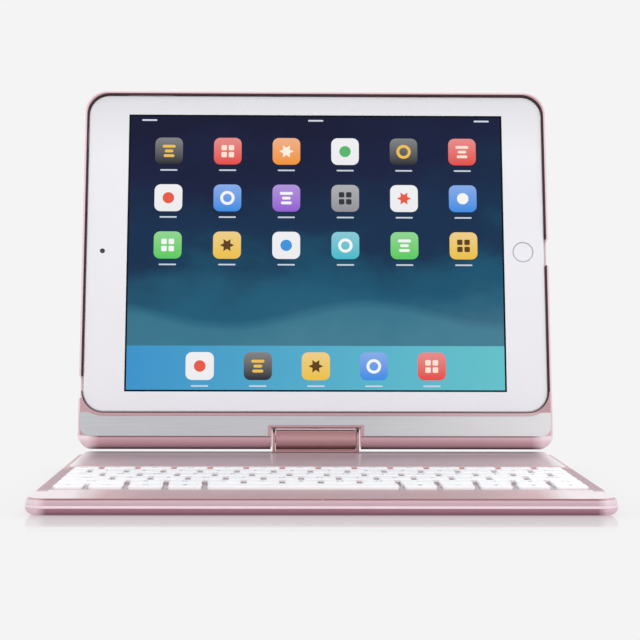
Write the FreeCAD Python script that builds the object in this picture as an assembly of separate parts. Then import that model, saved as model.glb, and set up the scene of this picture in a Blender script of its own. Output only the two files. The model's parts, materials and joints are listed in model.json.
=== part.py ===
import FreeCAD, Part
import math
import os

from FreeCAD import Vector

# Tablet keyboard case with a tilting and swivelling display tray. All sizes are in millimetres.
# +X is to the right, +Y to the rear, +Z up. The origin lies on the table, under the rear foot strip's middle.

# Keyboard base
base_width = 246.5
base_depth = 192.7
base_corner = 9.5
foot_height = 0.6
lower_shell_height = 4.2
upper_shell_height = 3.0
upper_shell_inset = 0.4
shell_wall = 1.6
floor_thickness = 1.2
deck_thickness = 1.2
rear_deck_rise = 1.2
rear_deck_side_inset = 4.5
rear_deck_rear_inset = 1.5
rear_deck_corner = 5.0
rear_deck_round = 0.8
underside_round = 2.9
lower_lip_round = 0.4
upper_edge_round = 2.0

# Keys
key_side_margin = 6.8
key_row_pitch = 14.6
function_row_pitch = 10.6
row_units = 13.7
key_gap = 2.5
key_corner = 1.6
key_top_round = 0.45
key_rise = 1.3
key_travel = 1.2
key_bottom_gap = 0.2
key_side_clearance = 0.3
key_flange_overlap = 0.4
key_flange_thickness = 0.4
key_flange_gap = 0.3
palm_depth = 31.7
rear_deck_gap = 1.6
membrane_thickness = 0.3
support_plate_thickness = 0.6
support_plate_margin = 1.5
support_rib_width = 1.6
dome_base_radius = 2.8
dome_top_radius = 1.5
dome_gap = 0.05

# Feet
rear_foot_setback = 9.0
rear_foot_length = 200.0
foot_width = 8.0
front_foot_length = 60.0
front_foot_spread = 140.0
front_foot_inset = 14.0
foot_recess = 0.3
foot_fit = 0.1
round_end_flat = 0.01

# Cover screws
screw_post_radius = 2.5
screw_radius = 0.85
screw_fit = 0.03
screw_head_radius = 1.8
screw_head_height = 0.7
screw_reach = 2.8
front_screw_inset = 12.0
rear_screw_inset = 8.0
side_screw_inset = 12.0
rear_screw_shift = 0.375
middle_screw_inset = 44.0

# Electronics in the base, along the left wall
board_thickness = 1.0
board_standoff_height = 1.2
board_standoff_radius = 2.0
board_standoff_inset = 4.0
board_width = 72.0
board_depth = 34.0
board_side_gap = 1.2
board_rear_inset = 14.0
port_width = 7.6
port_depth = 5.6
port_height = 2.6
port_wall = 0.3
port_tongue_height = 0.6
port_inset = 8.0
port_clearance = 0.15
port_recess = 0.3
switch_inset = 18.0
switch_housing_length = 8.0
switch_housing_depth = 3.6
switch_housing_height = 2.4
switch_knob_width = 2.2
switch_knob_height = 1.2
switch_knob_proud = 0.7
switch_knob_root = 2.0
switch_travel = 2.0
switch_clearance = 0.2
light_inset = 27.0
light_width = 1.6
light_height = 1.0
light_block_depth = 2.0
light_clearance = 0.05
battery_middle_gap = 6.75
battery_depth = 34.0
battery_thickness = 3.2
battery_side_inset = 16.0
battery_corner = 1.5

# Hinge
tilt_axis_inset = 5.0
tilt_axis_height = 15.6
rest_lean = 12.0
hinge_width = 44.5
cheek_thickness = 1.4
cheek_radius = 5.0
cheek_rear_depth = 1.5
cheek_block_gap = 0.25
cheek_flange_width = 12.0
cheek_flange_thickness = 1.5
cheek_slot_clearance = 0.1
cheek_screw_radius = 0.9
cheek_screw_head_radius = 1.7
cheek_screw_head_height = 0.8
cheek_screw_bite = 0.6
cheek_screw_spacing = 5.0
shaft_radius = 2.0
running_clearance = 0.05
shaft_end_inset = 0.2
barrel_radius = 3.2
barrel_width = 24.0
barrel_pocket_clearance = 0.15
friction_washer_radius = 3.0
friction_washer_thickness = 1.2
washer_clearance = 0.05
block_top = 3.9
block_edge_round = 0.6
block_screw_offset = 16.0
block_screw_depth = 1.0
hinge_pad_gap = 0.25
hinge_pad_front = 5.0
hinge_pad_rear = 3.0
post_radius = 2.0
post_top = 11.0
swivel_washer_radius = 3.6
swivel_gap = 0.1
nut_corner_radius = 3.3
nut_height = 2.4

# Display tray, drawn flat: X across, Y up the tray from the tilt axis, Z out of its front
tray_width = 244.0
tray_side_wall = 1.7
tray_half_thickness = 5.2
tray_top_corner = 11.5
tray_bottom_corner = 7.0
tray_front_round = 0.5
tray_back_round = 2.5
tray_panel = 1.5
tray_top_wall = 1.9
chin_flat = 0.05
chin_wall = 1.5
chin_end_wall = 4.0
chin_cavity_bottom = -2.0
notch_width = 46.5
notch_top = 5.2
notch_round = 0.7
notch_cheek_wall = 2.0
bush_outer_radius = 3.0
bush_flange_radius = 3.4
bush_flange_thickness = 0.7
bush_length = 3.0
trim_thickness = 0.6
trim_bottom = 1.0
trim_top = 11.3
trim_side_inset = 0.9
trim_corner = 5.0
trim_notch_margin = 1.4
trim_fit = 0.08
chin_boss_radius = 2.2
chin_screw_radius = 0.9
chin_screw_head_radius = 1.7
chin_screw_head_height = 0.8
chin_screw_reach = 2.6
chin_screw_height = 4.2
chin_screw_end_inset = 10.0
chin_screw_notch_offset = 14.75
pad_thickness = 0.4
pad_width = 8.0
pad_inset = 12.0
camera_hole_radius = 6.5
camera_side_inset = 11.0
camera_top_inset = 10.0
jack_low = 20.5
jack_high = 32.0
port_cut_low = 91.0
port_cut_high = 105.0
power_cut_low = 155.0
power_cut_high = 166.0
volume_cut_inset = 22.0
volume_cut_length = 24.0
edge_cut_depth = 5.0
button_window = 4.4

# Tablet that the tray holds
tablet_height = 169.5
tablet_thickness = 7.45
tablet_corner = 10.8
tablet_back_round = 2.4
tablet_bottom = 13.5
tablet_clearance = 0.3
tablet_seat_gap = 0.05
tablet_wall = 1.6
tablet_floor = 1.2
bezel_thickness = 0.8
bezel_edge_inset = 0.4
bezel_front_round = 0.2
screen_side_margin = 21.25
screen_end_margin = 10.6
screen_fit = 0.05
display_thickness = 2.2
cell_side_gap = 4.75
cell_height = 120.0
cell_spacing = 4.0
cell_thickness = 3.4
home_radius = 5.4
home_side_inset = 11.3
home_thickness = 1.4
home_travel = 0.25
home_fit = 0.1
home_recess = 0.1
side_button_width = 2.0
side_button_proud = 0.25
side_button_root = 1.2
side_button_travel = 0.25
side_button_fit = 0.1
power_button_length = 8.0
volume_button_length = 18.0

# Levels and places that follow from the sizes above
seam_z = foot_height + lower_shell_height
deck_z = seam_z + upper_shell_height
rear_deck_z = deck_z + rear_deck_rise
inner_floor_z = foot_height + floor_thickness
inner_deck_z = deck_z - deck_thickness
inner_rear_z = rear_deck_z - deck_thickness
key_top_z = deck_z + key_rise
flange_top_z = inner_deck_z - key_flange_gap
flange_bottom_z = flange_top_z - key_flange_thickness
membrane_top_z = flange_bottom_z - key_travel - key_bottom_gap
plate_top_z = membrane_top_z - membrane_thickness
plate_bottom_z = plate_top_z - support_plate_thickness
board_bottom_z = inner_floor_z + board_standoff_height
board_top_z = board_bottom_z + board_thickness

base_side = base_width / 2
upper_side = base_side - upper_shell_inset
base_rear = rear_foot_setback
base_front = base_rear - base_depth
key_unit = (base_width - 2 * key_side_margin) / row_units
key_front = base_front + palm_depth
key_rear = key_front + 5 * key_row_pitch + function_row_pitch
rear_deck_front = key_rear + rear_deck_gap
tilt_axis_y = base_rear - tilt_axis_inset
inner_side = upper_side - shell_wall
board_left = -inner_side + board_side_gap
board_rear = base_rear - board_rear_inset
port_y = board_rear - port_inset
switch_y = board_rear - switch_inset
light_y = board_rear - light_inset

tray_side = tray_width / 2
tablet_side = tray_side - tray_side_wall - tablet_clearance
tray_top = tablet_bottom + tablet_height + tablet_clearance + tray_top_wall
tray_floor = tray_panel - tray_half_thickness
tablet_back = tray_floor + pad_thickness + tablet_seat_gap
tablet_front = tablet_back + tablet_thickness
tablet_top = tablet_bottom + tablet_height
tablet_middle = tablet_bottom + tablet_height / 2
ledge = tablet_bottom - tablet_clearance
volume_cut_left = volume_cut_inset - tray_side
volume_cut_right = volume_cut_left + volume_cut_length
bezel_back = tablet_front - bezel_thickness
screen_half_width = tablet_side - screen_side_margin
screen_half_height = tablet_height / 2 - screen_end_margin
block_half = hinge_width / 2 - cheek_thickness - cheek_block_gap
notch_half = notch_width / 2
cavity_half = tray_half_thickness - chin_wall
cavity_top = ledge - chin_wall
cavity_side = tray_side - chin_end_wall
chin_screw_outer = tray_side - chin_screw_end_inset
chin_screw_inner = notch_half + chin_screw_notch_offset
chin_screw_middle = (chin_screw_outer + chin_screw_inner) / 2
chin_screw_places = [side * x for side in (-1, 1)
                     for x in (chin_screw_inner, chin_screw_middle, chin_screw_outer)]
bush_bottom = notch_top
bush_top = bush_bottom + bush_length
nut_bottom = bush_top + swivel_gap

# Each key row from front to rear: its pitch, and its keys from left to right as a node and a width in units.
# A width of None is an even share of what the other keys in the row leave.
key_rows = (
    (key_row_pitch, [("key_fn", 0.9), ("key_control", 1.0), ("key_alt_left", 1.0), ("key_meta_left", 1.0),
                     ("key_space", None), ("key_meta_right", 0.96), ("key_alt_right", 0.96),
                     ("key_arrow_left", 0.96), ("key_arrow_down", 0.96), ("key_arrow_right", 0.96)]),
    (key_row_pitch, [("key_shift_left", 1.87)] + [("keys_lower_row", None)] * 10
     + [("key_arrow_up", 0.9), ("key_shift_right", 0.95)]),
    (key_row_pitch, [("key_caps_lock", 1.4)] + [("keys_home_row", None)] * 11 + [("key_enter", 1.4)]),
    (key_row_pitch, [("key_tab", 1.05)] + [("keys_upper_row", None)] * 12 + [("keys_upper_row", 0.65)]),
    (key_row_pitch, [("keys_number_row", 0.61)] + [("keys_number_row", None)] * 12
     + [("key_backspace", 1.06)]),
    (function_row_pitch, [("keys_function_row", 0.85)] + [("keys_function_row", None)] * 12
     + [("keys_function_row", 0.85)]),
)


def box(x0, x1, y0, y1, z0, z1):
    return Part.makeBox(x1 - x0, y1 - y0, z1 - z0, Vector(x0, y0, z0))


def rod(radius, x, y, z0, z1):
    return Part.makeCylinder(radius, z1 - z0, Vector(x, y, z0))


def cross_rod(radius, x0, x1, y=0.0, z=0.0):
    return Part.makeCylinder(radius, x1 - x0, Vector(x0, y, z), Vector(1, 0, 0))


def up_rod(radius, y0, y1, x=0.0, z=0.0):
    return Part.makeCylinder(radius, y1 - y0, Vector(x, y0, z), Vector(0, 1, 0))


def corner_arc(x, y, radius, start):
    circle = Part.Circle(Vector(x, y, 0), Vector(0, 0, 1), radius)
    return Part.Arc(circle, math.radians(start), math.radians(start + 90)).toShape()


def rounded_block(x0, x1, y0, y1, z0, z1, low_radius, high_radius=None):
    high = low_radius if high_radius is None else high_radius
    low = low_radius
    edges = [
        Part.makeLine(Vector(x0 + low, y0, 0), Vector(x1 - low, y0, 0)),
        corner_arc(x1 - low, y0 + low, low, 270),
        Part.makeLine(Vector(x1, y0 + low, 0), Vector(x1, y1 - high, 0)),
        corner_arc(x1 - high, y1 - high, high, 0),
        Part.makeLine(Vector(x1 - high, y1, 0), Vector(x0 + high, y1, 0)),
        corner_arc(x0 + high, y1 - high, high, 90),
        Part.makeLine(Vector(x0, y1 - high, 0), Vector(x0, y0 + low, 0)),
        corner_arc(x0 + low, y0 + low, low, 180),
    ]
    block = Part.Face(Part.Wire(edges)).extrude(Vector(0, 0, z1 - z0))
    block.translate(Vector(0, 0, z0))
    return block


def round_rim(shape, level, radius):
    tolerance = 0.01
    rim = [edge for edge in shape.Edges
           if abs(edge.BoundBox.ZMin - level) < tolerance and abs(edge.BoundBox.ZMax - level) < tolerance]
    return shape.makeFillet(radius, rim)


def stand_up(shape):
    turned = shape.copy()
    turned.rotate(Vector(0, 0, 0), Vector(1, 0, 0), 90 - rest_lean)
    turned.translate(Vector(0, tilt_axis_y, tilt_axis_height))
    return turned


def save(name, *solids):
    shape = solids[0] if len(solids) == 1 else Part.makeCompound(list(solids))
    shape.exportStep(os.path.join("parts", name + ".step"))


def key_places():
    places = []
    row_front = key_front
    for pitch, keys in key_rows:
        fixed = sum(units for node, units in keys if units is not None)
        shared = sum(1 for node, units in keys if units is None)
        left = -row_units * key_unit / 2
        for node, units in keys:
            share = (row_units - fixed) / shared if units is None else units
            right = left + share * key_unit
            places.append((node, left + key_gap / 2, right - key_gap / 2,
                           row_front + key_gap / 2, row_front + pitch - key_gap / 2))
            left = right
        row_front = row_front + pitch
    return places


# The rear screws stand near the middle of the strip between the rear foot's end and the base's side.
def screw_places():
    side = base_side - side_screw_inset
    beside_foot = (rear_foot_length / 2 + base_side) / 2 - rear_screw_shift
    front = base_front + front_screw_inset
    rear = base_rear - rear_screw_inset
    return [(-side, front), (0.0, front), (side, front), (-beside_foot, rear), (beside_foot, rear),
            (0.0, base_rear - middle_screw_inset)]


def foot_spans():
    front = base_front + front_foot_inset
    half = front_foot_length / 2
    spans = [(-rear_foot_length / 2, rear_foot_length / 2, 0.0)]
    for side in (-1, 1):
        middle = side * front_foot_spread / 2
        spans.append((middle - half, middle + half, front + foot_width))
    return spans


def foot_block(span, bottom, top, grow):
    left, right, middle = span
    half = foot_width / 2
    return rounded_block(left - grow, right + grow, middle - half - grow, middle + half + grow,
                         bottom, top, half + grow - round_end_flat)


def side_opening(middle, half_length, low, high):
    return box(-base_side - shell_wall, -inner_side + shell_wall, middle - half_length, middle + half_length,
               low, high)


def side_openings():
    port = side_opening(port_y, port_width / 2 + port_clearance, board_top_z - port_clearance,
                        board_top_z + port_height + port_clearance)
    knob_half = (switch_knob_width + switch_travel) / 2 + switch_clearance
    knob_middle = board_top_z + switch_housing_height / 2
    knob = side_opening(switch_y, knob_half, knob_middle - switch_knob_height / 2 - switch_clearance,
                        knob_middle + switch_knob_height / 2 + switch_clearance)
    lamp = side_opening(light_y, light_width / 2 + light_clearance, seam_z,
                        seam_z + light_height + 2 * light_clearance)
    return Part.makeCompound([port, knob, lamp])


def base_top_cover():
    outer_front = base_front + upper_shell_inset
    outer_rear = base_rear - upper_shell_inset
    cover = rounded_block(-upper_side, upper_side, outer_front, outer_rear, seam_z, deck_z, base_corner)
    cover = round_rim(cover, deck_z, upper_edge_round)
    raised_side = base_side - rear_deck_side_inset
    raised_rear = base_rear - rear_deck_rear_inset
    raised = rounded_block(-raised_side, raised_side, rear_deck_front, raised_rear,
                           inner_deck_z, rear_deck_z, rear_deck_corner)
    cover = cover.fuse(round_rim(raised, rear_deck_z, rear_deck_round)).removeSplitter()
    pad = box(-block_half, block_half, tilt_axis_y - hinge_pad_front, tilt_axis_y + hinge_pad_rear,
              inner_rear_z, tilt_axis_height - tray_half_thickness - hinge_pad_gap)
    cover = cover.fuse(pad).removeSplitter()
    hollow = rounded_block(-inner_side, inner_side, outer_front + shell_wall, outer_rear - shell_wall,
                           seam_z, inner_deck_z, base_corner - shell_wall)
    rear_hollow = rounded_block(-raised_side + deck_thickness, raised_side - deck_thickness,
                                rear_deck_front + deck_thickness, raised_rear - deck_thickness,
                                seam_z, inner_rear_z, rear_deck_corner - deck_thickness)
    cover = cover.cut(hollow).cut(rear_hollow)
    grow = key_side_clearance
    corner = key_corner + grow
    openings = [rounded_block(x0 - grow, x1 + grow, y0 - grow, y1 + grow, seam_z, key_top_z, corner)
                for node, x0, x1, y0, y1 in key_places()]
    cover = cover.cut(Part.makeCompound(openings))
    posts = []
    for x, y in screw_places():
        ceiling = inner_rear_z if y > rear_deck_front else inner_deck_z
        post = rod(screw_post_radius, x, y, inner_floor_z, ceiling)
        pilot = rod(screw_radius + screw_fit, x, y, inner_floor_z, inner_floor_z + screw_reach)
        posts.append(post.cut(pilot))
    for post in posts:
        cover = cover.fuse(post)
    cuts = [side_openings()]
    for side in (-1, 1):
        cuts.append(cheek_slot(side))
        cuts.extend(rod(cheek_screw_radius + screw_fit, x, y, inner_rear_z, inner_rear_z + cheek_screw_bite)
                    for x, y in cheek_screw_places(side))
    for cut in cuts:
        cover = cover.cut(cut)
    return cover


def base_bottom_cover():
    cover = rounded_block(-base_side, base_side, base_front, base_rear, foot_height, seam_z, base_corner)
    cover = round_rim(cover, foot_height, underside_round)
    cover = round_rim(cover, seam_z, lower_lip_round)
    hollow = rounded_block(-base_side + shell_wall, base_side - shell_wall, base_front + shell_wall,
                           base_rear - shell_wall, inner_floor_z, seam_z, base_corner - shell_wall)
    cover = cover.cut(hollow)
    plate_side = row_units * key_unit / 2 + support_plate_margin
    row_front = key_front
    for pitch, keys in key_rows:
        middle = row_front + pitch / 2
        cover = cover.fuse(box(-plate_side, plate_side, middle - support_rib_width / 2,
                               middle + support_rib_width / 2, inner_floor_z, plate_bottom_z))
        row_front = row_front + pitch
    for x, y in board_standoffs():
        cover = cover.fuse(rod(board_standoff_radius, x, y, inner_floor_z, board_bottom_z))
    for x, y in screw_places():
        cover = cover.cut(rod(screw_radius + screw_fit, x, y, foot_height, inner_floor_z))
        head_top = foot_height + screw_head_height
        cover = cover.cut(rod(screw_head_radius + screw_fit, x, y, foot_height, head_top))
    for span in foot_spans():
        cover = cover.cut(foot_block(span, foot_height, foot_height + foot_recess, foot_fit))
    return cover.cut(side_openings())


def base_screws():
    screws = []
    for x, y in screw_places():
        shank = rod(screw_radius, x, y, foot_height, inner_floor_z + screw_reach)
        head = rod(screw_head_radius, x, y, foot_height, foot_height + screw_head_height)
        screws.append(head.fuse(shank).removeSplitter())
    return screws


def key_support_plate():
    side = row_units * key_unit / 2 + support_plate_margin
    return box(-side, side, key_front - support_plate_margin, key_rear, plate_bottom_z, plate_top_z)


def switch_membrane():
    side = row_units * key_unit / 2 + support_plate_margin
    return box(-side, side, key_front - support_plate_margin, key_rear, plate_top_z, membrane_top_z)


def rubber_domes():
    height = flange_bottom_z - dome_gap - membrane_top_z
    return [Part.makeCone(dome_base_radius, dome_top_radius, height,
                          Vector((x0 + x1) / 2, (y0 + y1) / 2, membrane_top_z))
            for node, x0, x1, y0, y1 in key_places()]


def key_cap(x0, x1, y0, y1):
    grow = key_side_clearance + key_flange_overlap
    cap = rounded_block(x0, x1, y0, y1, flange_bottom_z, key_top_z, key_corner)
    cap = round_rim(cap, key_top_z, key_top_round)
    flange = rounded_block(x0 - grow, x1 + grow, y0 - grow, y1 + grow, flange_bottom_z, flange_top_z,
                           key_corner)
    return cap.fuse(flange).removeSplitter()


def save_keys():
    groups = {}
    for node, x0, x1, y0, y1 in key_places():
        groups.setdefault(node, []).append(key_cap(x0, x1, y0, y1))
    for node, caps in groups.items():
        save(node, *caps)


def board_standoffs():
    inset = board_standoff_inset
    return [(x, y) for x in (board_left + inset, board_left + board_width - inset)
            for y in (board_rear - board_depth + inset, board_rear - inset)]


def circuit_board():
    board = box(board_left, board_left + board_width, board_rear - board_depth, board_rear,
                board_bottom_z, board_top_z)
    middle = switch_y
    housing_left = board_left
    housing_right = housing_left + switch_housing_depth
    housing = box(housing_left, housing_right, middle - switch_housing_length / 2,
                  middle + switch_housing_length / 2, board_top_z, board_top_z + switch_housing_height)
    slot_half = (switch_knob_width + switch_travel) / 2 + switch_clearance
    knob_middle = board_top_z + switch_housing_height / 2
    slot = box(housing_left, housing_left + switch_knob_root + switch_clearance, middle - slot_half,
               middle + slot_half, knob_middle - switch_knob_height / 2 - switch_clearance,
               knob_middle + switch_knob_height / 2 + switch_clearance)
    return [board, housing.cut(slot)]


def power_switch():
    middle = switch_y - switch_travel / 2
    knob_middle = board_top_z + switch_housing_height / 2
    half = switch_knob_width / 2
    return box(-upper_side - switch_knob_proud, board_left + switch_knob_root, middle - half, middle + half,
               knob_middle - switch_knob_height / 2, knob_middle + switch_knob_height / 2)


def usb_port():
    middle = port_y
    left = -upper_side + port_recess
    half = port_width / 2
    shell = box(left, left + port_depth, middle - half, middle + half, board_top_z, board_top_z + port_height)
    mouth = box(left, left + port_depth - port_wall, middle - half + port_wall, middle + half - port_wall,
                board_top_z + port_wall, board_top_z + port_height - port_wall)
    tongue_low = board_top_z + (port_height - port_tongue_height) / 2
    tongue = box(left + port_wall, left + port_depth - port_wall, middle - half / 2, middle + half / 2,
                 tongue_low, tongue_low + port_tongue_height)
    return shell.cut(mouth).fuse(tongue).removeSplitter()


def status_light():
    middle = light_y
    half = light_width / 2
    low = seam_z + light_clearance
    block = box(board_left, board_left + light_block_depth, middle - half, middle + half,
                board_top_z, low + light_height)
    pipe = box(-upper_side, board_left, middle - half, middle + half, low, low + light_height)
    return block.fuse(pipe).removeSplitter()


def battery():
    left = screw_post_radius + battery_middle_gap
    right = inner_side - battery_side_inset
    return rounded_block(left, right, board_rear - battery_depth, board_rear,
                         inner_floor_z, inner_floor_z + battery_thickness, battery_corner)


def cheek_span(side):
    inner = hinge_width / 2 - cheek_thickness
    outer = hinge_width / 2
    return (inner, outer) if side > 0 else (-outer, -inner)


def cheek_slot(side):
    x0, x1 = cheek_span(side)
    gap = cheek_slot_clearance
    return box(x0 - gap, x1 + gap, tilt_axis_y - cheek_radius - gap, tilt_axis_y + cheek_rear_depth + gap,
               inner_rear_z, rear_deck_z)


def cheek_screw_places(side):
    first = hinge_width / 2 + cheek_flange_width / 2 - cheek_screw_spacing / 2
    row = tilt_axis_y + (cheek_rear_depth - cheek_radius) / 2
    return [(side * first, row), (side * (first + cheek_screw_spacing), row)]


def hinge_cheek(side):
    x0, x1 = cheek_span(side)
    front = tilt_axis_y - cheek_radius
    rear = tilt_axis_y + cheek_rear_depth
    flange_bottom = inner_rear_z - cheek_flange_thickness
    ear = cross_rod(cheek_radius, x0, x1, tilt_axis_y, tilt_axis_height)
    upright = box(x0, x1, front, rear, flange_bottom, tilt_axis_height)
    outer = x1 + cheek_flange_width if side > 0 else x0 - cheek_flange_width
    flange = box(min(x0, outer), max(x1, outer), front, rear, flange_bottom, inner_rear_z)
    cheek = ear.fuse(upright).fuse(flange).removeSplitter()
    cheek = cheek.cut(cross_rod(shaft_radius + running_clearance, x0, x1, tilt_axis_y, tilt_axis_height))
    for x, y in cheek_screw_places(side):
        cheek = cheek.cut(rod(cheek_screw_radius + screw_fit, x, y, flange_bottom, inner_rear_z))
    return cheek


def cheek_screws():
    screws = []
    flange_bottom = inner_rear_z - cheek_flange_thickness
    for side in (-1, 1):
        for x, y in cheek_screw_places(side):
            shank = rod(cheek_screw_radius, x, y, flange_bottom - cheek_screw_head_height,
                        inner_rear_z + cheek_screw_bite)
            head = rod(cheek_screw_head_radius, x, y, flange_bottom - cheek_screw_head_height, flange_bottom)
            screws.append(head.fuse(shank).removeSplitter())
    return screws


def tilt_shaft():
    half = hinge_width / 2 - shaft_end_inset
    return cross_rod(shaft_radius, -half, half)


def friction_washers():
    washers = []
    inner = barrel_width / 2 + washer_clearance
    for start in (inner, -inner - friction_washer_thickness):
        ring = cross_rod(friction_washer_radius, start, start + friction_washer_thickness)
        washers.append(ring.cut(cross_rod(shaft_radius + running_clearance, start,
                                          start + friction_washer_thickness)))
    return washers


def pivot_post():
    barrel = cross_rod(barrel_radius, -barrel_width / 2, barrel_width / 2)
    post = barrel.fuse(up_rod(post_radius, 0, post_top)).removeSplitter()
    return post.cut(cross_rod(shaft_radius + running_clearance, -barrel_width, barrel_width))


def hinge_block():
    radius = tray_half_thickness
    lower = cross_rod(radius, -block_half, block_half)
    lower = lower.common(box(-block_half, block_half, -radius, 0, -radius, radius))
    upper = box(-block_half, block_half, 0, block_top, -radius, radius)
    block = lower.fuse(upper).removeSplitter()
    rim = [edge for edge in block.Edges
           if abs(edge.BoundBox.YMin - block_top) < 0.01 and edge.BoundBox.XLength > block_half]
    block = block.makeFillet(block_edge_round, rim)
    pocket_half = barrel_width / 2 + washer_clearance * 2 + friction_washer_thickness
    block = block.cut(cross_rod(barrel_radius + barrel_pocket_clearance, -pocket_half, pocket_half))
    block = block.cut(cross_rod(shaft_radius + running_clearance, -block_half, block_half))
    return block.cut(up_rod(post_radius + running_clearance, 0, block_top))


def hinge_cover(front):
    reach = 2 * tray_half_thickness
    low, high = (0, reach) if front else (-reach, 0)
    half = hinge_block().common(box(-hinge_width, hinge_width, -reach, reach, low, high))
    for side in (-1, 1):
        x = side * block_screw_offset
        half = half.cut(rod(cheek_screw_radius + screw_fit, x, 0, -tray_half_thickness,
                            -shaft_radius - block_screw_depth))
    return half


def save_hinge_screws():
    screws = []
    for side in (-1, 1):
        x = side * block_screw_offset
        screws.append(rod(cheek_screw_radius, x, 0, screw_fit - tray_half_thickness,
                           -shaft_radius - block_screw_depth))
    save("hinge_cover_screws", *[stand_up(screw) for screw in screws])


def swivel_washer():
    ring = up_rod(swivel_washer_radius, block_top, notch_top - swivel_gap)
    return ring.cut(up_rod(post_radius + running_clearance, block_top, notch_top))


def swivel_nut():
    corners = [Vector(nut_corner_radius * math.sin(math.radians(60 * step)), nut_bottom,
                      nut_corner_radius * math.cos(math.radians(60 * step))) for step in range(7)]
    nut = Part.Face(Part.makePolygon(corners)).extrude(Vector(0, nut_height, 0))
    return nut.cut(up_rod(post_radius + running_clearance, nut_bottom, nut_bottom + nut_height))


def tray_outer():
    outer = rounded_block(-tray_side, tray_side, chin_flat - tray_half_thickness, tray_top,
                          -tray_half_thickness, tray_half_thickness, tray_bottom_corner, tray_top_corner)
    outer = round_rim(outer, tray_half_thickness, tray_front_round)
    outer = round_rim(outer, -tray_half_thickness, tray_back_round)
    radius = tray_half_thickness
    beyond = tray_top + radius
    profile = Part.Wire([
        Part.Arc(Vector(-tray_side, 0, -radius), Vector(-tray_side, -radius, 0),
                 Vector(-tray_side, 0, radius)).toShape(),
        Part.makeLine(Vector(-tray_side, 0, radius), Vector(-tray_side, beyond, radius)),
        Part.makeLine(Vector(-tray_side, beyond, radius), Vector(-tray_side, beyond, -radius)),
        Part.makeLine(Vector(-tray_side, beyond, -radius), Vector(-tray_side, 0, -radius)),
    ])
    return outer.common(Part.Face(profile).extrude(Vector(tray_width, 0, 0)))


def tray_hollow():
    clearance = tablet_clearance
    reach = 2 * tray_half_thickness
    side = tablet_side + clearance
    bay = rounded_block(-side, side, ledge, tablet_top + clearance, tray_floor, reach,
                        tablet_corner + clearance)
    tray = tray_outer().cut(bay)
    tray = tray.cut(box(-notch_half, notch_half, -reach, notch_top, -reach, reach))
    chamber_low = notch_top + chin_wall
    tray = tray.cut(box(-cavity_side, cavity_side, chamber_low, cavity_top, -cavity_half, cavity_half))
    wing = notch_half + notch_cheek_wall
    for x0, x1 in ((-cavity_side, -wing), (wing, cavity_side)):
        tray = tray.cut(box(x0, x1, chin_cavity_bottom, cavity_top, -cavity_half, cavity_half))
    for x in chin_screw_places:
        tray = tray.fuse(rod(chin_boss_radius, x, chin_screw_height, -cavity_half, cavity_half))
    return tray.cut(up_rod(bush_outer_radius, notch_top, chamber_low))


def chin_box():
    reach = tray_side + tray_half_thickness
    return box(-reach, reach, -2 * tray_half_thickness, ledge, 0, 2 * tray_half_thickness)


def edge_cut(x0, x1, y0, y1):
    return box(x0, x1, y0, y1, tablet_back, 2 * tray_half_thickness)


def edge_window(x0, x1, y0, y1):
    return box(x0, x1, y0, y1, -button_window / 2, button_window / 2)


def tray_shell():
    tray = tray_hollow().cut(chin_box())
    depth = edge_cut_depth
    cuts = [edge_cut(-tray_side - depth, -tablet_side, jack_low, jack_high),
            edge_cut(tablet_side, tray_side + depth, port_cut_low, port_cut_high),
            edge_window(-tray_side - depth, -tablet_side, power_cut_low, power_cut_high),
            edge_window(volume_cut_left, volume_cut_right, tablet_top, tray_top + depth),
            rod(camera_hole_radius, camera_side_inset - tablet_side, tablet_top - camera_top_inset,
                -2 * tray_half_thickness, tablet_back)]
    for x in chin_screw_places:
        cuts.append(rod(chin_screw_radius + screw_fit, x, chin_screw_height, -tray_half_thickness, 0))
        cuts.append(rod(chin_screw_head_radius + screw_fit, x, chin_screw_height, -tray_half_thickness,
                        chin_screw_head_height - tray_half_thickness))
    for cut in cuts:
        tray = tray.cut(cut)
    return tray


def trim_block(grow):
    side = tray_side - trim_side_inset + grow
    back = tray_half_thickness - trim_thickness - grow
    plate = rounded_block(-side, side, trim_bottom - grow, ledge + trim_corner, back, tray_half_thickness,
                          trim_corner + grow)
    clear = tablet_clearance + tablet_bottom - trim_top
    opening_side = tablet_side + clear - grow
    opening = rounded_block(-opening_side, opening_side, trim_top + grow, tablet_top, -tray_half_thickness,
                            tray_half_thickness + trim_corner, tablet_corner + clear - grow)
    ceiling = box(-tray_width, tray_width, -tray_width, ledge, -tray_half_thickness, tray_half_thickness)
    notch_side = notch_half + trim_notch_margin - grow
    notch = box(-notch_side, notch_side, -tray_width, notch_top + trim_notch_margin - grow,
                -tray_half_thickness, tray_half_thickness)
    return plate.cut(opening).common(ceiling).cut(notch)


def chin_cover():
    cover = tray_hollow().common(chin_box())
    front_edge = [edge for edge in cover.Edges
                  if abs(edge.BoundBox.YMin - notch_top) < 0.01 and abs(edge.BoundBox.YMax - notch_top) < 0.01
                  and abs(edge.BoundBox.ZMin - tray_half_thickness) < 0.01]
    cover = cover.makeFillet(notch_round, front_edge)
    for x in chin_screw_places:
        cover = cover.cut(rod(chin_screw_radius + screw_fit, x, chin_screw_height, 0, chin_screw_reach))
    return cover.cut(trim_block(trim_fit))


def chin_screws():
    screws = []
    head_bottom = screw_fit - tray_half_thickness
    head_top = chin_screw_head_height - tray_half_thickness
    for x in chin_screw_places:
        head = rod(chin_screw_head_radius, x, chin_screw_height, head_bottom, head_top)
        shank = rod(chin_screw_radius, x, chin_screw_height, head_bottom, chin_screw_reach)
        screws.append(head.fuse(shank).removeSplitter())
    return screws


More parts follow.
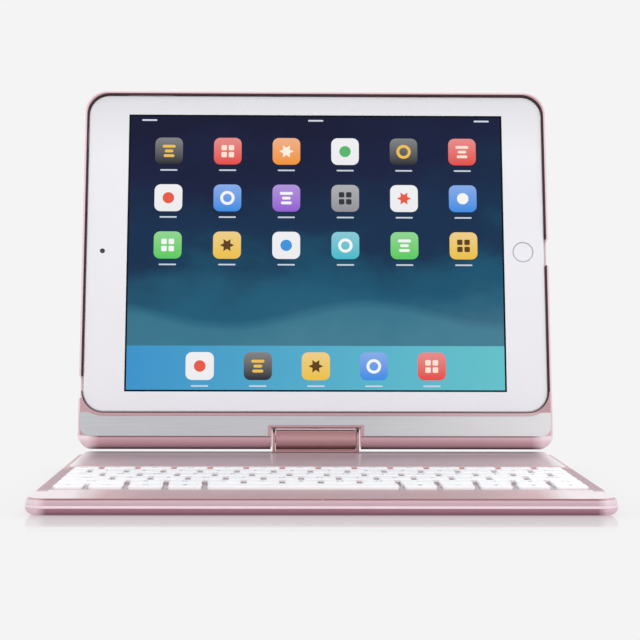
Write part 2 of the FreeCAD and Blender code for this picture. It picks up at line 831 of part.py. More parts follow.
def swivel_bush():
    wall_top = notch_top + chin_wall
    sleeve = up_rod(bush_outer_radius, bush_bottom, bush_top)
    flange = up_rod(bush_flange_radius, wall_top, wall_top + bush_flange_thickness)
    bush = sleeve.fuse(flange).removeSplitter()
    return bush.cut(up_rod(post_radius + running_clearance, bush_bottom, bush_top))


def tray_pads():
    side = tablet_side - pad_inset
    low = tablet_bottom + pad_inset
    high = tablet_top - pad_inset - camera_top_inset
    pads = []
    for middle in (-side + camera_hole_radius, 0.0, side):
        pads.append(rounded_block(middle - pad_width / 2, middle + pad_width / 2, low, high, tray_floor,
                                  tray_floor + pad_thickness, pad_width / 2 - round_end_flat))
    return pads


def side_button(length, width, grow, root):
    half_length = length / 2 + grow
    half_width = width / 2 + grow
    return box(-half_length, half_length, -root, side_button_proud, -half_width, half_width)


def place_power_button(shape):
    placed = shape.copy()
    placed.rotate(Vector(0, 0, 0), Vector(0, 0, 1), 90)
    placed.translate(Vector(-tablet_side, (power_cut_low + power_cut_high) / 2, 0))
    return placed


def place_volume_button(shape):
    placed = shape.copy()
    placed.translate(Vector((volume_cut_left + volume_cut_right) / 2, tablet_top, 0))
    return placed


def button_depth_cut(length):
    return side_button(length, side_button_width, side_button_fit, side_button_root + 2 * side_button_travel)


def tablet_housing():
    housing = rounded_block(-tablet_side, tablet_side, tablet_bottom, tablet_top, tablet_back, bezel_back,
                            tablet_corner)
    housing = round_rim(housing, tablet_back, tablet_back_round)
    wall = tablet_wall
    hollow = rounded_block(-tablet_side + wall, tablet_side - wall, tablet_bottom + wall, tablet_top - wall,
                           tablet_back + tablet_floor, bezel_back, tablet_corner - wall)
    housing = housing.cut(hollow)
    home_x, home_y = home_place()
    seat_top = bezel_back - home_thickness + bezel_thickness - home_travel - home_recess - home_fit
    seat = box(home_x - home_radius, tablet_side - wall, home_y - home_radius, home_y + home_radius,
               tablet_back + tablet_floor, seat_top)
    housing = housing.fuse(seat)
    housing = housing.cut(place_power_button(button_depth_cut(power_button_length)))
    return housing.cut(place_volume_button(button_depth_cut(volume_button_length)))


def home_place():
    return tablet_side - home_side_inset, tablet_middle


def tablet_bezel():
    inset = bezel_edge_inset
    pane = rounded_block(-tablet_side + inset, tablet_side - inset, tablet_bottom + inset, tablet_top - inset,
                         bezel_back, tablet_front, tablet_corner - inset)
    pane = round_rim(pane, tablet_front, bezel_front_round)
    half_width = screen_half_width + screen_fit
    half_height = screen_half_height + screen_fit
    pane = pane.cut(box(-half_width, half_width, tablet_middle - half_height, tablet_middle + half_height,
                        bezel_back, tablet_front))
    home_x, home_y = home_place()
    return pane.cut(rod(home_radius + home_fit, home_x, home_y, bezel_back, tablet_front))


def tablet_display():
    half_width = screen_half_width
    half_height = screen_half_height
    border = 2 * tablet_wall
    panel = box(-half_width, half_width, tablet_middle - half_height, tablet_middle + half_height,
                bezel_back, tablet_front)
    panel_back = tablet_front - display_thickness
    back = box(-half_width - border, half_width + border, tablet_middle - half_height - border,
               tablet_middle + half_height + border, panel_back, bezel_back)
    return panel.fuse(back).removeSplitter()


def tablet_battery():
    low = tablet_back + tablet_floor
    cells = []
    for side in (-1, 1):
        inner = side * cell_spacing / 2
        outer = side * (screen_half_width - cell_side_gap)
        cells.append(rounded_block(min(inner, outer), max(inner, outer), tablet_middle - cell_height / 2,
                                   tablet_middle + cell_height / 2, low, low + cell_thickness,
                                   battery_corner))
    return cells


def home_button():
    home_x, home_y = home_place()
    top = tablet_front - home_recess
    return rod(home_radius, home_x, home_y, top - home_thickness, top)


def save_base():
    save("base_top_cover", base_top_cover())
    save("base_bottom_cover", base_bottom_cover())
    save("base_screws", *base_screws())
    save("key_support_plate", key_support_plate())
    save("switch_membrane", switch_membrane())
    save("rubber_domes", *rubber_domes())
    save("circuit_board", *circuit_board())
    save("power_switch", power_switch())
    save("usb_port", usb_port())
    save("status_light", status_light())
    save("battery", battery())
    feet = [foot_block(span, 0, foot_height + foot_recess, 0) for span in foot_spans()]
    save("rear_foot", feet[0])
    save("front_feet", *feet[1:])
    save("hinge_cheek_left", hinge_cheek(-1))
    save("hinge_cheek_right", hinge_cheek(1))
    save("cheek_screws", *cheek_screws())


def save_hinge_head():
    save("tilt_shaft", stand_up(tilt_shaft()))
    save("friction_washers", *[stand_up(washer) for washer in friction_washers()])
    save("pivot_post", stand_up(pivot_post()))
    save("hinge_cover_front", stand_up(hinge_cover(True)))
    save("hinge_cover_rear", stand_up(hinge_cover(False)))
    save_hinge_screws()
    save("swivel_washer", stand_up(swivel_washer()))
    save("swivel_nut", stand_up(swivel_nut()))


def save_tray():
    save("tray_shell", stand_up(tray_shell()))
    save("chin_cover", stand_up(chin_cover()))
    save("chin_trim", stand_up(trim_block(0)))
    save("chin_screws", *[stand_up(screw) for screw in chin_screws()])
    save("swivel_bush", stand_up(swivel_bush()))
    save("tray_pads", *[stand_up(pad) for pad in tray_pads()])


def save_tablet():
    save("tablet_housing", stand_up(tablet_housing()))
    save("tablet_bezel", stand_up(tablet_bezel()))
    save("tablet_display", stand_up(tablet_display()))
    save("tablet_battery", *[stand_up(cell) for cell in tablet_battery()])
    save("home_button", stand_up(home_button()))
    power = side_button(power_button_length, side_button_width, 0, side_button_root)
    save("tablet_power_button", stand_up(place_power_button(power)))
    volume = side_button(volume_button_length, side_button_width, 0, side_button_root)
    save("tablet_volume_button", stand_up(place_volume_button(volume)))


os.makedirs("parts", exist_ok=True)
save_base()
save_keys()
save_hinge_head()
save_tray()
save_tablet()
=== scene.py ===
import bpy
import bmesh
import json
import math
from mathutils import Matrix, Vector

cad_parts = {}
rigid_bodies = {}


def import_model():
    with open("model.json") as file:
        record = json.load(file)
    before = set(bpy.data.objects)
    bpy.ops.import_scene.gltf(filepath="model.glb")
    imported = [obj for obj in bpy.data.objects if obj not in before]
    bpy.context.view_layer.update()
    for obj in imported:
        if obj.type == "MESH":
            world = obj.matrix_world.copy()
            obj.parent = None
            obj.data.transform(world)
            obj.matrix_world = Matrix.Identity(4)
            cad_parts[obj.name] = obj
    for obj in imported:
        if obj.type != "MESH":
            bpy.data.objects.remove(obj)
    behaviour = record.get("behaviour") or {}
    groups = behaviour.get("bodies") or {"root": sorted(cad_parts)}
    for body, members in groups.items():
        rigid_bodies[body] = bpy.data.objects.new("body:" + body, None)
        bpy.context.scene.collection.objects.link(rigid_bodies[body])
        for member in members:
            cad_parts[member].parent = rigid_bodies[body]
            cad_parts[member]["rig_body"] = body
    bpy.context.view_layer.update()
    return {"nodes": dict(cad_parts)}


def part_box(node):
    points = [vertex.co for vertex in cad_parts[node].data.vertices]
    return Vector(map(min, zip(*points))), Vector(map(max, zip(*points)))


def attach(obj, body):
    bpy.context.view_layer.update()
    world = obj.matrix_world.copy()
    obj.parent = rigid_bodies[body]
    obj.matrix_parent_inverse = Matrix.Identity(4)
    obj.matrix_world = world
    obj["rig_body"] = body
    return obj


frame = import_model()
nodes = frame["nodes"]
mm = 0.001
weldGap = 0.000001  # points closer than this become one
cornerSteps = 5  # in each corner of a rounded outline
print("frame loaded:", len(nodes), "nodes")


# a socket that takes part in Python expressions
class Wire:
    def __init__(self, tree, socket):
        self.tree = tree
        self.socket = socket

    def also(self, output):
        return Wire(self.tree, self.socket.node.outputs[output])

    def maths(self, operation, first, second):
        node = self.tree.nodes.new("ShaderNodeMath")
        node.operation = operation
        plug(self.tree, node.inputs[0], first)
        plug(self.tree, node.inputs[1], second)
        return Wire(self.tree, node.outputs[0])

    def __add__(self, other):
        return self.maths("ADD", self, other)

    def __radd__(self, other):
        return self.maths("ADD", other, self)

    def __sub__(self, other):
        return self.maths("SUBTRACT", self, other)

    def __rsub__(self, other):
        return self.maths("SUBTRACT", other, self)

    def __mul__(self, other):
        return self.maths("MULTIPLY", self, other)

    def __rmul__(self, other):
        return self.maths("MULTIPLY", other, self)

    def __truediv__(self, other):
        return self.maths("DIVIDE", self, other)

    def __rtruediv__(self, other):
        return self.maths("DIVIDE", other, self)

    def __pow__(self, other):
        return self.maths("POWER", self, other)

    def __rpow__(self, other):
        return self.maths("POWER", other, self)

    def __lt__(self, other):
        return self.maths("LESS_THAN", self, other)

    def __gt__(self, other):
        return self.maths("GREATER_THAN", self, other)


def plug(tree, socket, value):
    if isinstance(value, list):
        for wire in value:
            tree.links.new(wire.socket, socket)
    elif isinstance(value, Wire):
        tree.links.new(value.socket, socket)
    else:
        socket.default_value = value


def fillRamp(ramp, stops, interpolation):
    ramp.interpolation = interpolation
    while len(ramp.elements) < len(stops):
        ramp.elements.new(1.0)
    for element, (place, colour) in zip(ramp.elements, stops):
        element.position = place
        element.color = colour


class Bench:
    def __init__(self, tree):
        self.tree = tree

    def add(self, kind, settings=None, sockets=None, output=0):
        node = self.tree.nodes.new(kind)
        for key, value in (settings or {}).items():
            if key == "stops":
                fillRamp(node.color_ramp, value, "EASE")
            elif key == "steps":
                fillRamp(node.color_ramp, value, "CONSTANT")
            else:
                setattr(node, key, value)
        for key, value in (sockets or {}).items():
            plug(self.tree, node.inputs[key], value)
        return Wire(self.tree, node.outputs[output])

    def mix(self, factor, first, second):
        return self.add("ShaderNodeMix", {"data_type": "RGBA"}, {0: factor, 6: first, 7: second}, 2)


# a surface: the principled shader with what feeds it
class Paint(Bench):
    def __init__(self, name):
        self.material = bpy.data.materials.new(name)
        self.material.use_nodes = True
        super().__init__(self.material.node_tree)
        self.shader = self.tree.nodes["Principled BSDF"]

    def place(self, scale=(1, 1, 1)):
        coords = self.add("ShaderNodeTexCoord", output="Object")
        return self.add("ShaderNodeMapping", {"vector_type": "POINT"}, {"Vector": coords, "Scale": scale})

    def noise(self, vector, scale, detail, rough=0.5):
        return self.add("ShaderNodeTexNoise", None,
                        {"Vector": vector, "Scale": scale, "Detail": detail, "Roughness": rough}, "Fac")

    def spread(self, value, low, high, start=0.3, end=0.7):
        return self.add("ShaderNodeMapRange", {"clamp": True},
                        {"Value": value, "From Min": start, "From Max": end, "To Min": low, "To Max": high})

    def axes(self, where):
        split = self.add("ShaderNodeSeparateXYZ", None, {"Vector": where})
        x, y, z = split, split.also("Y"), split.also("Z")
        up = (y - tiltAxis.y) * faceUp.y + (z - tiltAxis.z) * faceUp.z
        side = x.maths("ABSOLUTE", x, 0)
        return {"X": x / mm, "Y": y / mm, "Z": z / mm, "Up": up / mm, "Side": side / mm}

    # how far out of the display's inner rectangle, so that it follows the rounded corners
    def rim(self, axes):
        side = axes["Side"] - display["rimSide"]
        over = axes["Up"] - display["rimTop"]
        side = side.maths("MAXIMUM", side, 0)
        over = over.maths("MAXIMUM", over, 0)
        return (side * side + over * over) ** 0.5

    def within(self, axes, box, soft):
        mask = 1.0
        for axis, (low, high, *own) in box.items():
            along = self.rim(axes) if axis == "Rim" else axes[axis]
            fade = own[0] if own else soft
            mask = self.spread(along, 0, 1, low - fade, low + fade) * mask
            mask = self.spread(along, 1, 0, high - fade, high + fade) * mask
        return mask

    def bump(self, height, strength, distance):
        return self.add("ShaderNodeBump", None,
                        {"Height": height, "Strength": strength, "Distance": distance}, "Normal")

    def set(self, **sockets):
        for key, value in sockets.items():
            plug(self.tree, self.shader.inputs[key.replace("_", " ")], value)
        return self.material


# a geometry tree with named inputs, run once on a small starting mesh
class Recipe(Bench):
    def __init__(self, name):
        super().__init__(bpy.data.node_groups.new(name, "GeometryNodeTree"))
        self.source = self.tree.nodes.new("NodeGroupInput")
        self.start = self.ask("Start", "NodeSocketGeometry")
        self.finish = self.ask("Finish", "NodeSocketMaterial")

    def ask(self, label, kind="NodeSocketFloat"):
        self.tree.interface.new_socket(label, in_out="INPUT", socket_type=kind)
        return Wire(self.tree, self.source.outputs[label])

    def askAll(self, *labels):
        return [self.ask(label) for label in labels]

    def vector(self, x, y, z):
        return self.add("ShaderNodeCombineXYZ", None, {"X": x, "Y": y, "Z": z})

    def join(self, *shapes):
        return self.add("GeometryNodeJoinGeometry", None, {"Geometry": list(shapes)})

    def move(self, shape, x, y, z):
        return self.add("GeometryNodeTransform", None,
                        {"Geometry": shape, "Translation": self.vector(x, y, z)})

    def roundedBox(self, width, height, corner):
        outline = self.add("GeometryNodeCurvePrimitiveQuadrilateral", None,
                           {"Width": width, "Height": height})
        return self.add("GeometryNodeFilletCurve", {"mode": "POLY"},
                        {"Curve": outline, "Count": cornerSteps, "Radius": corner, "Limit Radius": True})

    def fill(self, outline):
        return self.add("GeometryNodeFillCurve", {"mode": "NGONS"}, {"Curve": outline})

    def slab(self, flat, thick):
        raised = self.add("GeometryNodeExtrudeMesh", None,
                          {"Mesh": flat, "Offset Scale": thick, "Individual": False})
        under = self.add("GeometryNodeFlipFaces", None, {"Mesh": flat})
        return self.add("GeometryNodeMergeByDistance", None,
                        {"Geometry": self.join(raised, under), "Distance": weldGap})

    def close(self, shape):
        whole = self.add("GeometryNodeRealizeInstances", None, {"Geometry": shape})
        coated = self.add("GeometryNodeSetMaterial", None, {"Geometry": whole, "Material": self.finish})
        self.tree.interface.new_socket("Shape", in_out="OUTPUT", socket_type="NodeSocketGeometry")
        plug(self.tree, self.tree.nodes.new("NodeGroupOutput").inputs["Shape"], coated)
        return self

    def grow(self, start, finish, **values):
        holder = linked("holder", start)
        modifier = holder.modifiers.new("grow", "NODES")
        modifier.node_group = self.tree
        values["Finish"] = finish
        for item in self.tree.interface.items_tree:
            if item.in_out == "INPUT" and item.name.replace(" ", "") in values:
                modifier[item.identifier] = values[item.name.replace(" ", "")]
        ready = holder.evaluated_get(bpy.context.evaluated_depsgraph_get())
        mesh = bpy.data.meshes.new_from_object(ready)
        bpy.data.objects.remove(holder)
        return mesh


# screen levels of red, green and blue to the linear colour that the shaders take
def rgb(*levels):
    shares = [level / 255 for level in levels]
    linear = [share / 12.92 if share <= 0.04045 else ((share + 0.055) / 1.055) ** 2.4 for share in shares]
    return (*linear, 1.0)


def inMetres(**lengths):
    return {label: length * mm for label, length in lengths.items()}


def linked(name, data):
    thing = bpy.data.objects.new(name, data)
    bpy.context.scene.collection.objects.link(thing)
    return thing


def keep(name, mesh, body, slot):
    mesh.name = name
    piece = linked(name, mesh)
    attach(piece, body)


def pointMesh(points, edges=()):
    mesh = bpy.data.meshes.new("start")
    mesh.from_pydata([Vector(point) * mm for point in points], list(edges), [])
    return mesh


def settled(work):
    mesh = bpy.data.meshes.new("settled")
    work.to_mesh(mesh)
    work.free()
    return mesh


def smoothShade(mesh, angle=35):
    mesh.shade_smooth()
    mesh.set_sharp_from_angle(angle=math.radians(angle))
    return mesh


# the display leans back at rest, so places on it are measured across, up its face and out of its front
display = {"lean": 12, "axis": (0, 4.0, 15.6), "rimSide": 110.5, "rimTop": 173.7}
lean = math.radians(display["lean"])
faceUp = Vector((0, math.sin(lean), math.cos(lean)))
faceOut = Vector((0, -math.cos(lean), math.sin(lean)))
faceTurn = Matrix((Vector((1, 0, 0)), faceUp, faceOut)).transposed().to_4x4()
tiltAxis = Vector(display["axis"]) * mm
ontoFace = Matrix.Translation(tiltAxis) @ faceTurn

# rose lacquer: fine metal flake under a clear coat, with zones of their own tone and polish; most zones are
# painted highlights, painted reflections and painted shade
lacquer = {"flake": 4200, "flakeTone": 0.5, "flakeRough": 0.03, "cloud": 9, "cloudTone": 0.3,
           "cloudRough": 0.04, "peel": 260, "bump": 0.02, "deep": 0.00004, "metal": 0.5, "coatRough": 0.05,
           "zoneEdge": 0.02}


def roseLacquer(name, colour, shade, roughness, coat, zones):
    paint = Paint(name)
    where = paint.place()
    flake = paint.noise(where, lacquer["flake"], 1.0)
    cloud = paint.noise(where, lacquer["cloud"], 2.0)
    blend = paint.spread(flake, 0, lacquer["flakeTone"]) + paint.spread(cloud, 0, lacquer["cloudTone"])
    tone = paint.mix(blend, rgb(*colour), rgb(*shade))
    rough = paint.spread(cloud, roughness, roughness + lacquer["cloudRough"])
    rough = rough + paint.spread(flake, 0, lacquer["flakeRough"])
    clear = coat
    axes = paint.axes(where)
    for box, zoneTone, cover, zoneRough, zoneCoat in zones.values():
        mask = paint.within(axes, box, lacquer["zoneEdge"])
        tone = paint.mix(mask * cover, tone, rgb(*zoneTone))
        rough = rough + mask * (zoneRough - roughness)
        clear = clear + mask * (zoneCoat - clear)
    peel = paint.noise(where, lacquer["peel"], 2.0)
    return paint.set(Base_Color=tone, Metallic=lacquer["metal"], Roughness=rough, Coat_Weight=clear,
                     Coat_Roughness=lacquer["coatRough"],
                     Normal=paint.bump(peel, lacquer["bump"], lacquer["deep"]))


# silver plate with fine lines along its length, paler towards its right end: a painted reflection
silver = {"colour": (202, 203, 206), "shade": (190, 191, 195), "pale": (236, 234, 235), "paleShare": 0.8,
          "paleAcross": (20, 122), "lines": (25, 2600, 2600), "detail": 4.0, "fine": 0.65, "metal": 0.7,
          "rough": (0.36, 0.46), "bump": 0.05, "deep": 0.00003}


def brushedSilver(name):
    paint = Paint(name)
    lines = paint.noise(paint.place(silver["lines"]), 1.0, silver["detail"], silver["fine"])
    tone = paint.mix(paint.spread(lines, 0, 1), rgb(*silver["colour"]), rgb(*silver["shade"]))
    across = paint.axes(paint.place())["X"]
    pale = paint.spread(across, 0, silver["paleShare"], *silver["paleAcross"])
    return paint.set(Base_Color=paint.mix(pale, tone, rgb(*silver["pale"])), Metallic=silver["metal"],
                     Roughness=paint.spread(lines, *silver["rough"]),
                     Normal=paint.bump(lines, silver["bump"], silver["deep"]))


# moulded plastic, rubber and blasted metal: a fine grain over a faint cloud
grains = {
    "plastic": {"fine": 2600, "cloud": 60, "metal": 0.0, "bump": 0.12, "deep": 0.00004},
    "rubber": {"fine": 1500, "cloud": 60, "metal": 0.0, "bump": 0.12, "deep": 0.00004},
    "metal": {"fine": 4200, "cloud": 45, "metal": 0.9, "bump": 0.1, "deep": 0.00003},
    "sheet": {"fine": 1800, "cloud": 45, "metal": 0.9, "bump": 0.1, "deep": 0.00003},
}
grainRougher = 0.12


def grained(name, kind, colour, shade, roughness):
    grain = grains[kind]
    paint = Paint(name)
    where = paint.place()
    pits = paint.noise(where, grain["fine"], 2.0)
    cloud = paint.noise(where, grain["cloud"], 3.0)
    tone = paint.mix(paint.spread(cloud, 0, 1), rgb(*colour), rgb(*shade))
    return paint.set(Base_Color=tone, Metallic=grain["metal"],
                     Roughness=paint.spread(pits, roughness, roughness + grainRougher),
                     Normal=paint.bump(pits, grain["bump"], grain["deep"]))


glass = {"film": 18, "detail": 3.0, "fine": 0.6, "rough": (0.06, 0.13), "coatRough": 0.03}
# painted shade: the bezel darker towards its top
bezelTopShade = {"rise": (150, 182), "tone": (212, 212, 216)}


def clearGlass(name, colour, shade, coat, upper=None):
    paint = Paint(name)
    film = paint.noise(paint.place(), glass["film"], glass["detail"], glass["fine"])
    tone = paint.mix(paint.spread(film, 0, 1), rgb(*colour), rgb(*shade))
    if upper:
        high = paint.spread(paint.axes(paint.place())["Up"], 0, 1, *upper["rise"])
        tone = paint.mix(high, tone, rgb(*upper["tone"]))
    return paint.set(Base_Color=tone, Roughness=paint.spread(film, *glass["rough"]), Coat_Weight=coat,
                     Coat_Roughness=glass["coatRough"])


board = {"ground": (28, 92, 58), "trace": (54, 128, 82), "scale": 420.0, "line": 0.06, "speck": 800,
         "rough": (0.35, 0.5), "bump": 0.2, "deep": 0.00003}


def circuitGreen(name):
    paint = Paint(name)
    where = paint.place()
    traces = paint.add("ShaderNodeTexBrick", None,
                       {"Vector": where, "Scale": board["scale"], "Mortar Size": board["line"]}, "Fac")
    speck = paint.noise(where, board["speck"], 2.0)
    tone = paint.mix(traces, rgb(*board["ground"]), rgb(*board["trace"]))
    return paint.set(Base_Color=tone, Roughness=paint.spread(speck, *board["rough"]),
                     Normal=paint.bump(traces, board["bump"], board["deep"]))


foil = {"dark": (58, 60, 66), "light": (88, 90, 96), "crease": 120, "detail": 5.0, "fine": 0.7, "metal": 0.3,
        "rough": (0.3, 0.5), "bump": 0.3, "deep": 0.0002}


def wrappedFoil(name):
    paint = Paint(name)
    crease = paint.noise(paint.place(), foil["crease"], foil["detail"], foil["fine"])
    tone = paint.mix(paint.spread(crease, 0, 1), rgb(*foil["dark"]), rgb(*foil["light"]))
    return paint.set(Base_Color=tone, Metallic=foil["metal"], Roughness=paint.spread(crease, *foil["rough"]),
                     Normal=paint.bump(crease, foil["bump"], foil["deep"]))


keyNames = [name for name in nodes if name.startswith("key") and name != "key_support_plate"]
keyCorners = [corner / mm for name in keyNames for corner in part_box(name)]
keyField = {axis: (min(corner[index] for corner in keyCorners), max(corner[index] for corner in keyCorners))
            for index, axis in enumerate("XY")}
keyFront = keyField["Y"][0]
keySide = keyField["X"][1]

# a zone: its box, as low, high and, where it fades slowly, how softly, then tone, cover, roughness and coat
deckZones = {
    # painted reflection: the rear deck greyer, standing in for the chin mirrored in it
    "rearDeck": ({"Y": (-66.0, 9.0), "Z": (8.2, 9.3)}, (203, 188, 194), 0.9, 0.34, 0.3),
    # painted shadow: the rear deck darker and without coat under the display
    "underDisplay": ({"Y": (-7.0, 9.5, 3.0), "Z": (8.2, 9.3)}, (182, 170, 177), 0.9, 0.6, 0.0),
    # painted highlight: the rear deck's side ends near white
    "rearSides": ({"Side": (115.0, 130.0, 3.0), "Y": (-66.0, 9.5), "Z": (8.2, 9.3)},
                  (250, 243, 247), 0.9, 0.3, 0.3),
    "hingePad": ({"X": (-21.0, 21.0), "Y": (-1.2, 9.0), "Z": (9.3, 11.0)}, (190, 142, 147), 0.9, 0.34, 0.1),
    # painted shadow: a dark line at the foot of the hinge pad
    "padFoot": ({"X": (-21.0, 21.0), "Y": (-1.2, 9.0), "Z": (9.05, 9.45)}, (84, 44, 52), 0.9, 0.5, 0.1),
    "edgeBand": ({"Z": (4.0, 7.05)}, (200, 172, 184), 0.8, 0.4, 0.08),
    # painted shade: the webs between the keys darker, less dark in the front rows
    "keyWells": ({**keyField, "Z": (0.0, 8.2)}, (168, 152, 157), 0.8, 0.5, 0.0),
    "frontWells": ({**keyField, "Y": (keyFront, keyFront + 16.0), "Z": (0.0, 8.2)},
                   (216, 206, 210), 0.7, 0.5, 0.0),
    # painted highlight: the front strip near white at its ends
    "frontStripEnds": ({"Side": (97.0, 130.0, 7.0), "Y": (-190.0, keyFront - 0.6), "Z": (7.7, 8.2)},
                       (250, 240, 244), 0.85, 0.3, 0.1),
    # painted reflection: a darker band on the deck beside the key field
    "besideKeys": ({"Side": (keySide + 0.3, 121.3, 0.15), "Y": (keyFront - 6.0, -66.5), "Z": (7.7, 8.2)},
                   (178, 146, 156), 0.9, 0.4, 0.05),
    # painted shade: a dark, rougher band on the rounded upper edge; no crease is cut there
    "crease": ({"Side": (-1.0, 115.5, 2.0), "Z": (7.05, 7.7)}, (142, 97, 106), 0.9, 0.5, 0.0),
    # painted highlight: the deck's outer side edges near white
    "sideEdges": ({"Side": (121.3, 130.0, 0.15), "Y": (-176.0, 9.5, 3.0), "Z": (7.0, 9.3)},
                  (250, 243, 246), 0.9, 0.3, 0.2),
    # painted highlight: the front corners pale
    "frontCorners": ({"Side": (115.5, 130.0, 2.0), "Y": (-190.0, -172.0, 5.0), "Z": (3.8, 7.0)},
                     (246, 228, 236), 0.75, 0.3, 0.2),
}
# painted highlight: the tray pale on its outer edges, beyond the display's rim
trayZones = {"brightEdge": ({"Rim": (10.6, 30.0, 0.3)}, (240, 216, 224), 0.85, 0.26, 1.0)}
chinZones = {
    **trayZones,
    # painted light: the chin paler towards its right end
    "rightHalf": ({"X": (70.0, 220.0, 40.0)}, (240, 216, 221), 0.35, 0.36, 0.1),
    "groove": ({"X": (-115.0, 115.0, 0.1), "Up": (0.3, 0.95, 0.1)}, (104, 72, 78), 0.8, 0.4, 0.1),
    # painted light: the chin's down-facing bevel paler
    "bevel": ({"Up": (-4.3, -0.6, 1.2)}, (214, 170, 180), 0.8, 0.4, 0.05),
    # painted shade: a dark line along the chin's lower edge
    "lowerEdge": ({"Up": (-5.4, -4.6, 0.3)}, (96, 58, 66), 0.8, 0.5, 0.0),
    # painted highlight: the chin's lower corners near white
    "lowerCorners": ({"Side": (114.0, 130.0, 3.0), "Up": (-6.0, 1.2, 0.4)}, (248, 228, 235), 0.8, 0.3, 0.5),
}
# painted light: the hinge block paler across its middle and lower face
blockPaintedLight = {"middle": ({"Up": (-4.6, 1.0, 1.4)}, (198, 153, 155), 0.8, 0.4, 0.05)}
lowerZones = {
    # painted shade: the lower shell darker towards its underside
    "underEdge": ({"Z": (0.0, 2.0, 1.0)}, (108, 70, 82), 0.8, 0.34, 0.1),
    # painted highlight: the front corners pale
    "frontCorners": ({"Side": (115.5, 130.0, 2.0), "Y": (-190.0, -172.0, 5.0)},
                     (240, 208, 222), 0.75, 0.3, 0.2),
}

# colour, shade, roughness, coat and zones
lacquered = {
    "roseDeck": ((218, 181, 183), (204, 165, 168), 0.4, 0.08, deckZones),
    "roseTray": ((196, 161, 167), (180, 142, 149), 0.32, 0.15, trayZones),
    "roseChin": ((196, 156, 163), (180, 138, 146), 0.36, 0.1, chinZones),
    "roseHinge": ((172, 127, 131), (156, 111, 115), 0.36, 0.1, blockPaintedLight),
    # painted shade: the lower shell is a darker copy of the rose lacquer, as it faces down
    "roseLower": ((166, 116, 132), (150, 102, 117), 0.32, 0.15, lowerZones),
    # painted highlight: a near-white rose for beads that stand in for highlight lines
    "roseBead": ((246, 224, 233), (236, 212, 222), 0.2, 0.6, {}),
}
# grain, colour, shade and roughness
moulded = {
    "keyWhite": ("plastic", (250, 249, 251), (245, 244, 247), 0.42),
    "legendGrey": ("plastic", (128, 126, 130), (116, 114, 119), 0.55),
    "switchFilm": ("plastic", (214, 218, 222), (200, 205, 210), 0.3),
    "knobPlastic": ("plastic", (226, 222, 224), (214, 210, 212), 0.4),
    "slotBlack": ("plastic", (30, 30, 33), (22, 22, 25), 0.5),
    "footRubber": ("rubber", (112, 110, 113), (96, 95, 98), 0.7),
    "domeRubber": ("rubber", (206, 204, 205), (192, 190, 192), 0.6),
    "padRubber": ("rubber", (92, 90, 93), (80, 78, 82), 0.75),
    # painted shadow: a dark wine-red for strips that stand in for gap shadows
    "sealRubber": ("rubber", (58, 26, 34), (46, 20, 27), 0.6),
    "turnedSteel": ("metal", (172, 172, 175), (150, 150, 154), 0.28),
    "sheetSteel": ("sheet", (168, 168, 171), (150, 150, 153), 0.35),
    # painted shade: a dark steel for the screw heads' cross recesses
    "recessSteel": ("metal", (70, 70, 73), (56, 56, 60), 0.45),
    "ringSilver": ("metal", (196, 195, 198), (180, 180, 184), 0.24),
    "bushBrass": ("metal", (204, 170, 104), (180, 146, 84), 0.28),
    "tabletSilver": ("metal", (214, 214, 216), (203, 203, 206), 0.36),
}
# colour, shade, coat and a darker top of painted shade
glazed = {
    "lampLens": ((220, 232, 242), (206, 222, 236), 0.6),
    "lensBlack": ((26, 26, 34), (16, 17, 24), 1.0),
    "bezelWhite": ((228, 227, 231), (225, 224, 228), 0.6, bezelTopShade),
}
finishes = {"chinSilver": brushedSilver("chinSilver"), "boardGreen": circuitGreen("boardGreen"),
            "cellFoil": wrappedFoil("cellFoil")}
for make, table in ((roseLacquer, lacquered), (grained, moulded), (clearGlass, glazed)):
    finishes.update({name: make(name, *row) for name, row in table.items()})
print("finishes mixed:", len(finishes))

wearsFinish = {
    "roseDeck": ["base_top_cover"],
    "roseTray": ["tray_shell"],
    "roseChin": ["chin_cover"],
    "roseHinge": ["hinge_cover_front", "hinge_cover_rear", "hinge_cheek_left", "hinge_cheek_right"],
    "roseLower": ["base_bottom_cover"],
    "chinSilver": ["chin_trim"],
    "footRubber": ["rear_foot", "front_feet"],
    "domeRubber": ["rubber_domes"],
    "padRubber": ["tray_pads"],
    "turnedSteel": ["base_screws", "cheek_screws", "hinge_cover_screws", "chin_screws", "tilt_shaft",
                    "friction_washers", "pivot_post", "swivel_washer", "swivel_nut", "usb_port"],
    "sheetSteel": ["key_support_plate"],
    "bushBrass": ["swivel_bush"],
    "switchFilm": ["switch_membrane"],
    "boardGreen": ["circuit_board"],
    "cellFoil": ["battery", "tablet_battery"],
    "knobPlastic": ["power_switch"],
    "lampLens": ["status_light"],
    "tabletSilver": ["tablet_housing", "tablet_power_button", "tablet_volume_button"],
    "bezelWhite": ["tablet_bezel", "home_button"],
    "keyWhite": keyNames,
}


def dress(node, finish):
    slots = nodes[node].data.materials
    slots.clear()
    slots.append(finish)


for finish, names in wearsFinish.items():
    for name in names:
        dress(name, finishes[finish])


def roundedPath(low, high, corner, steps=10):
    points = []
    corners = ((high[0], high[1]), (low[0], high[1]), (low[0], low[1]), (high[0], low[1]))
    for quarter, (x, y) in enumerate(corners):
        middle = (x - math.copysign(corner, x - (low[0] + high[0]) / 2),
                  y - math.copysign(corner, y - (low[1] + high[1]) / 2))
        for step in range(steps + 1):
            angle = math.radians(90) * (quarter + step / steps)
            points.append((middle[0] + corner * math.cos(angle), middle[1] + corner * math.sin(angle), 0))
    return points


def chain(count, closed=False):
    links = [(index, index + 1) for index in range(count - 1)]
    return links + [(count - 1, 0)] if closed else links


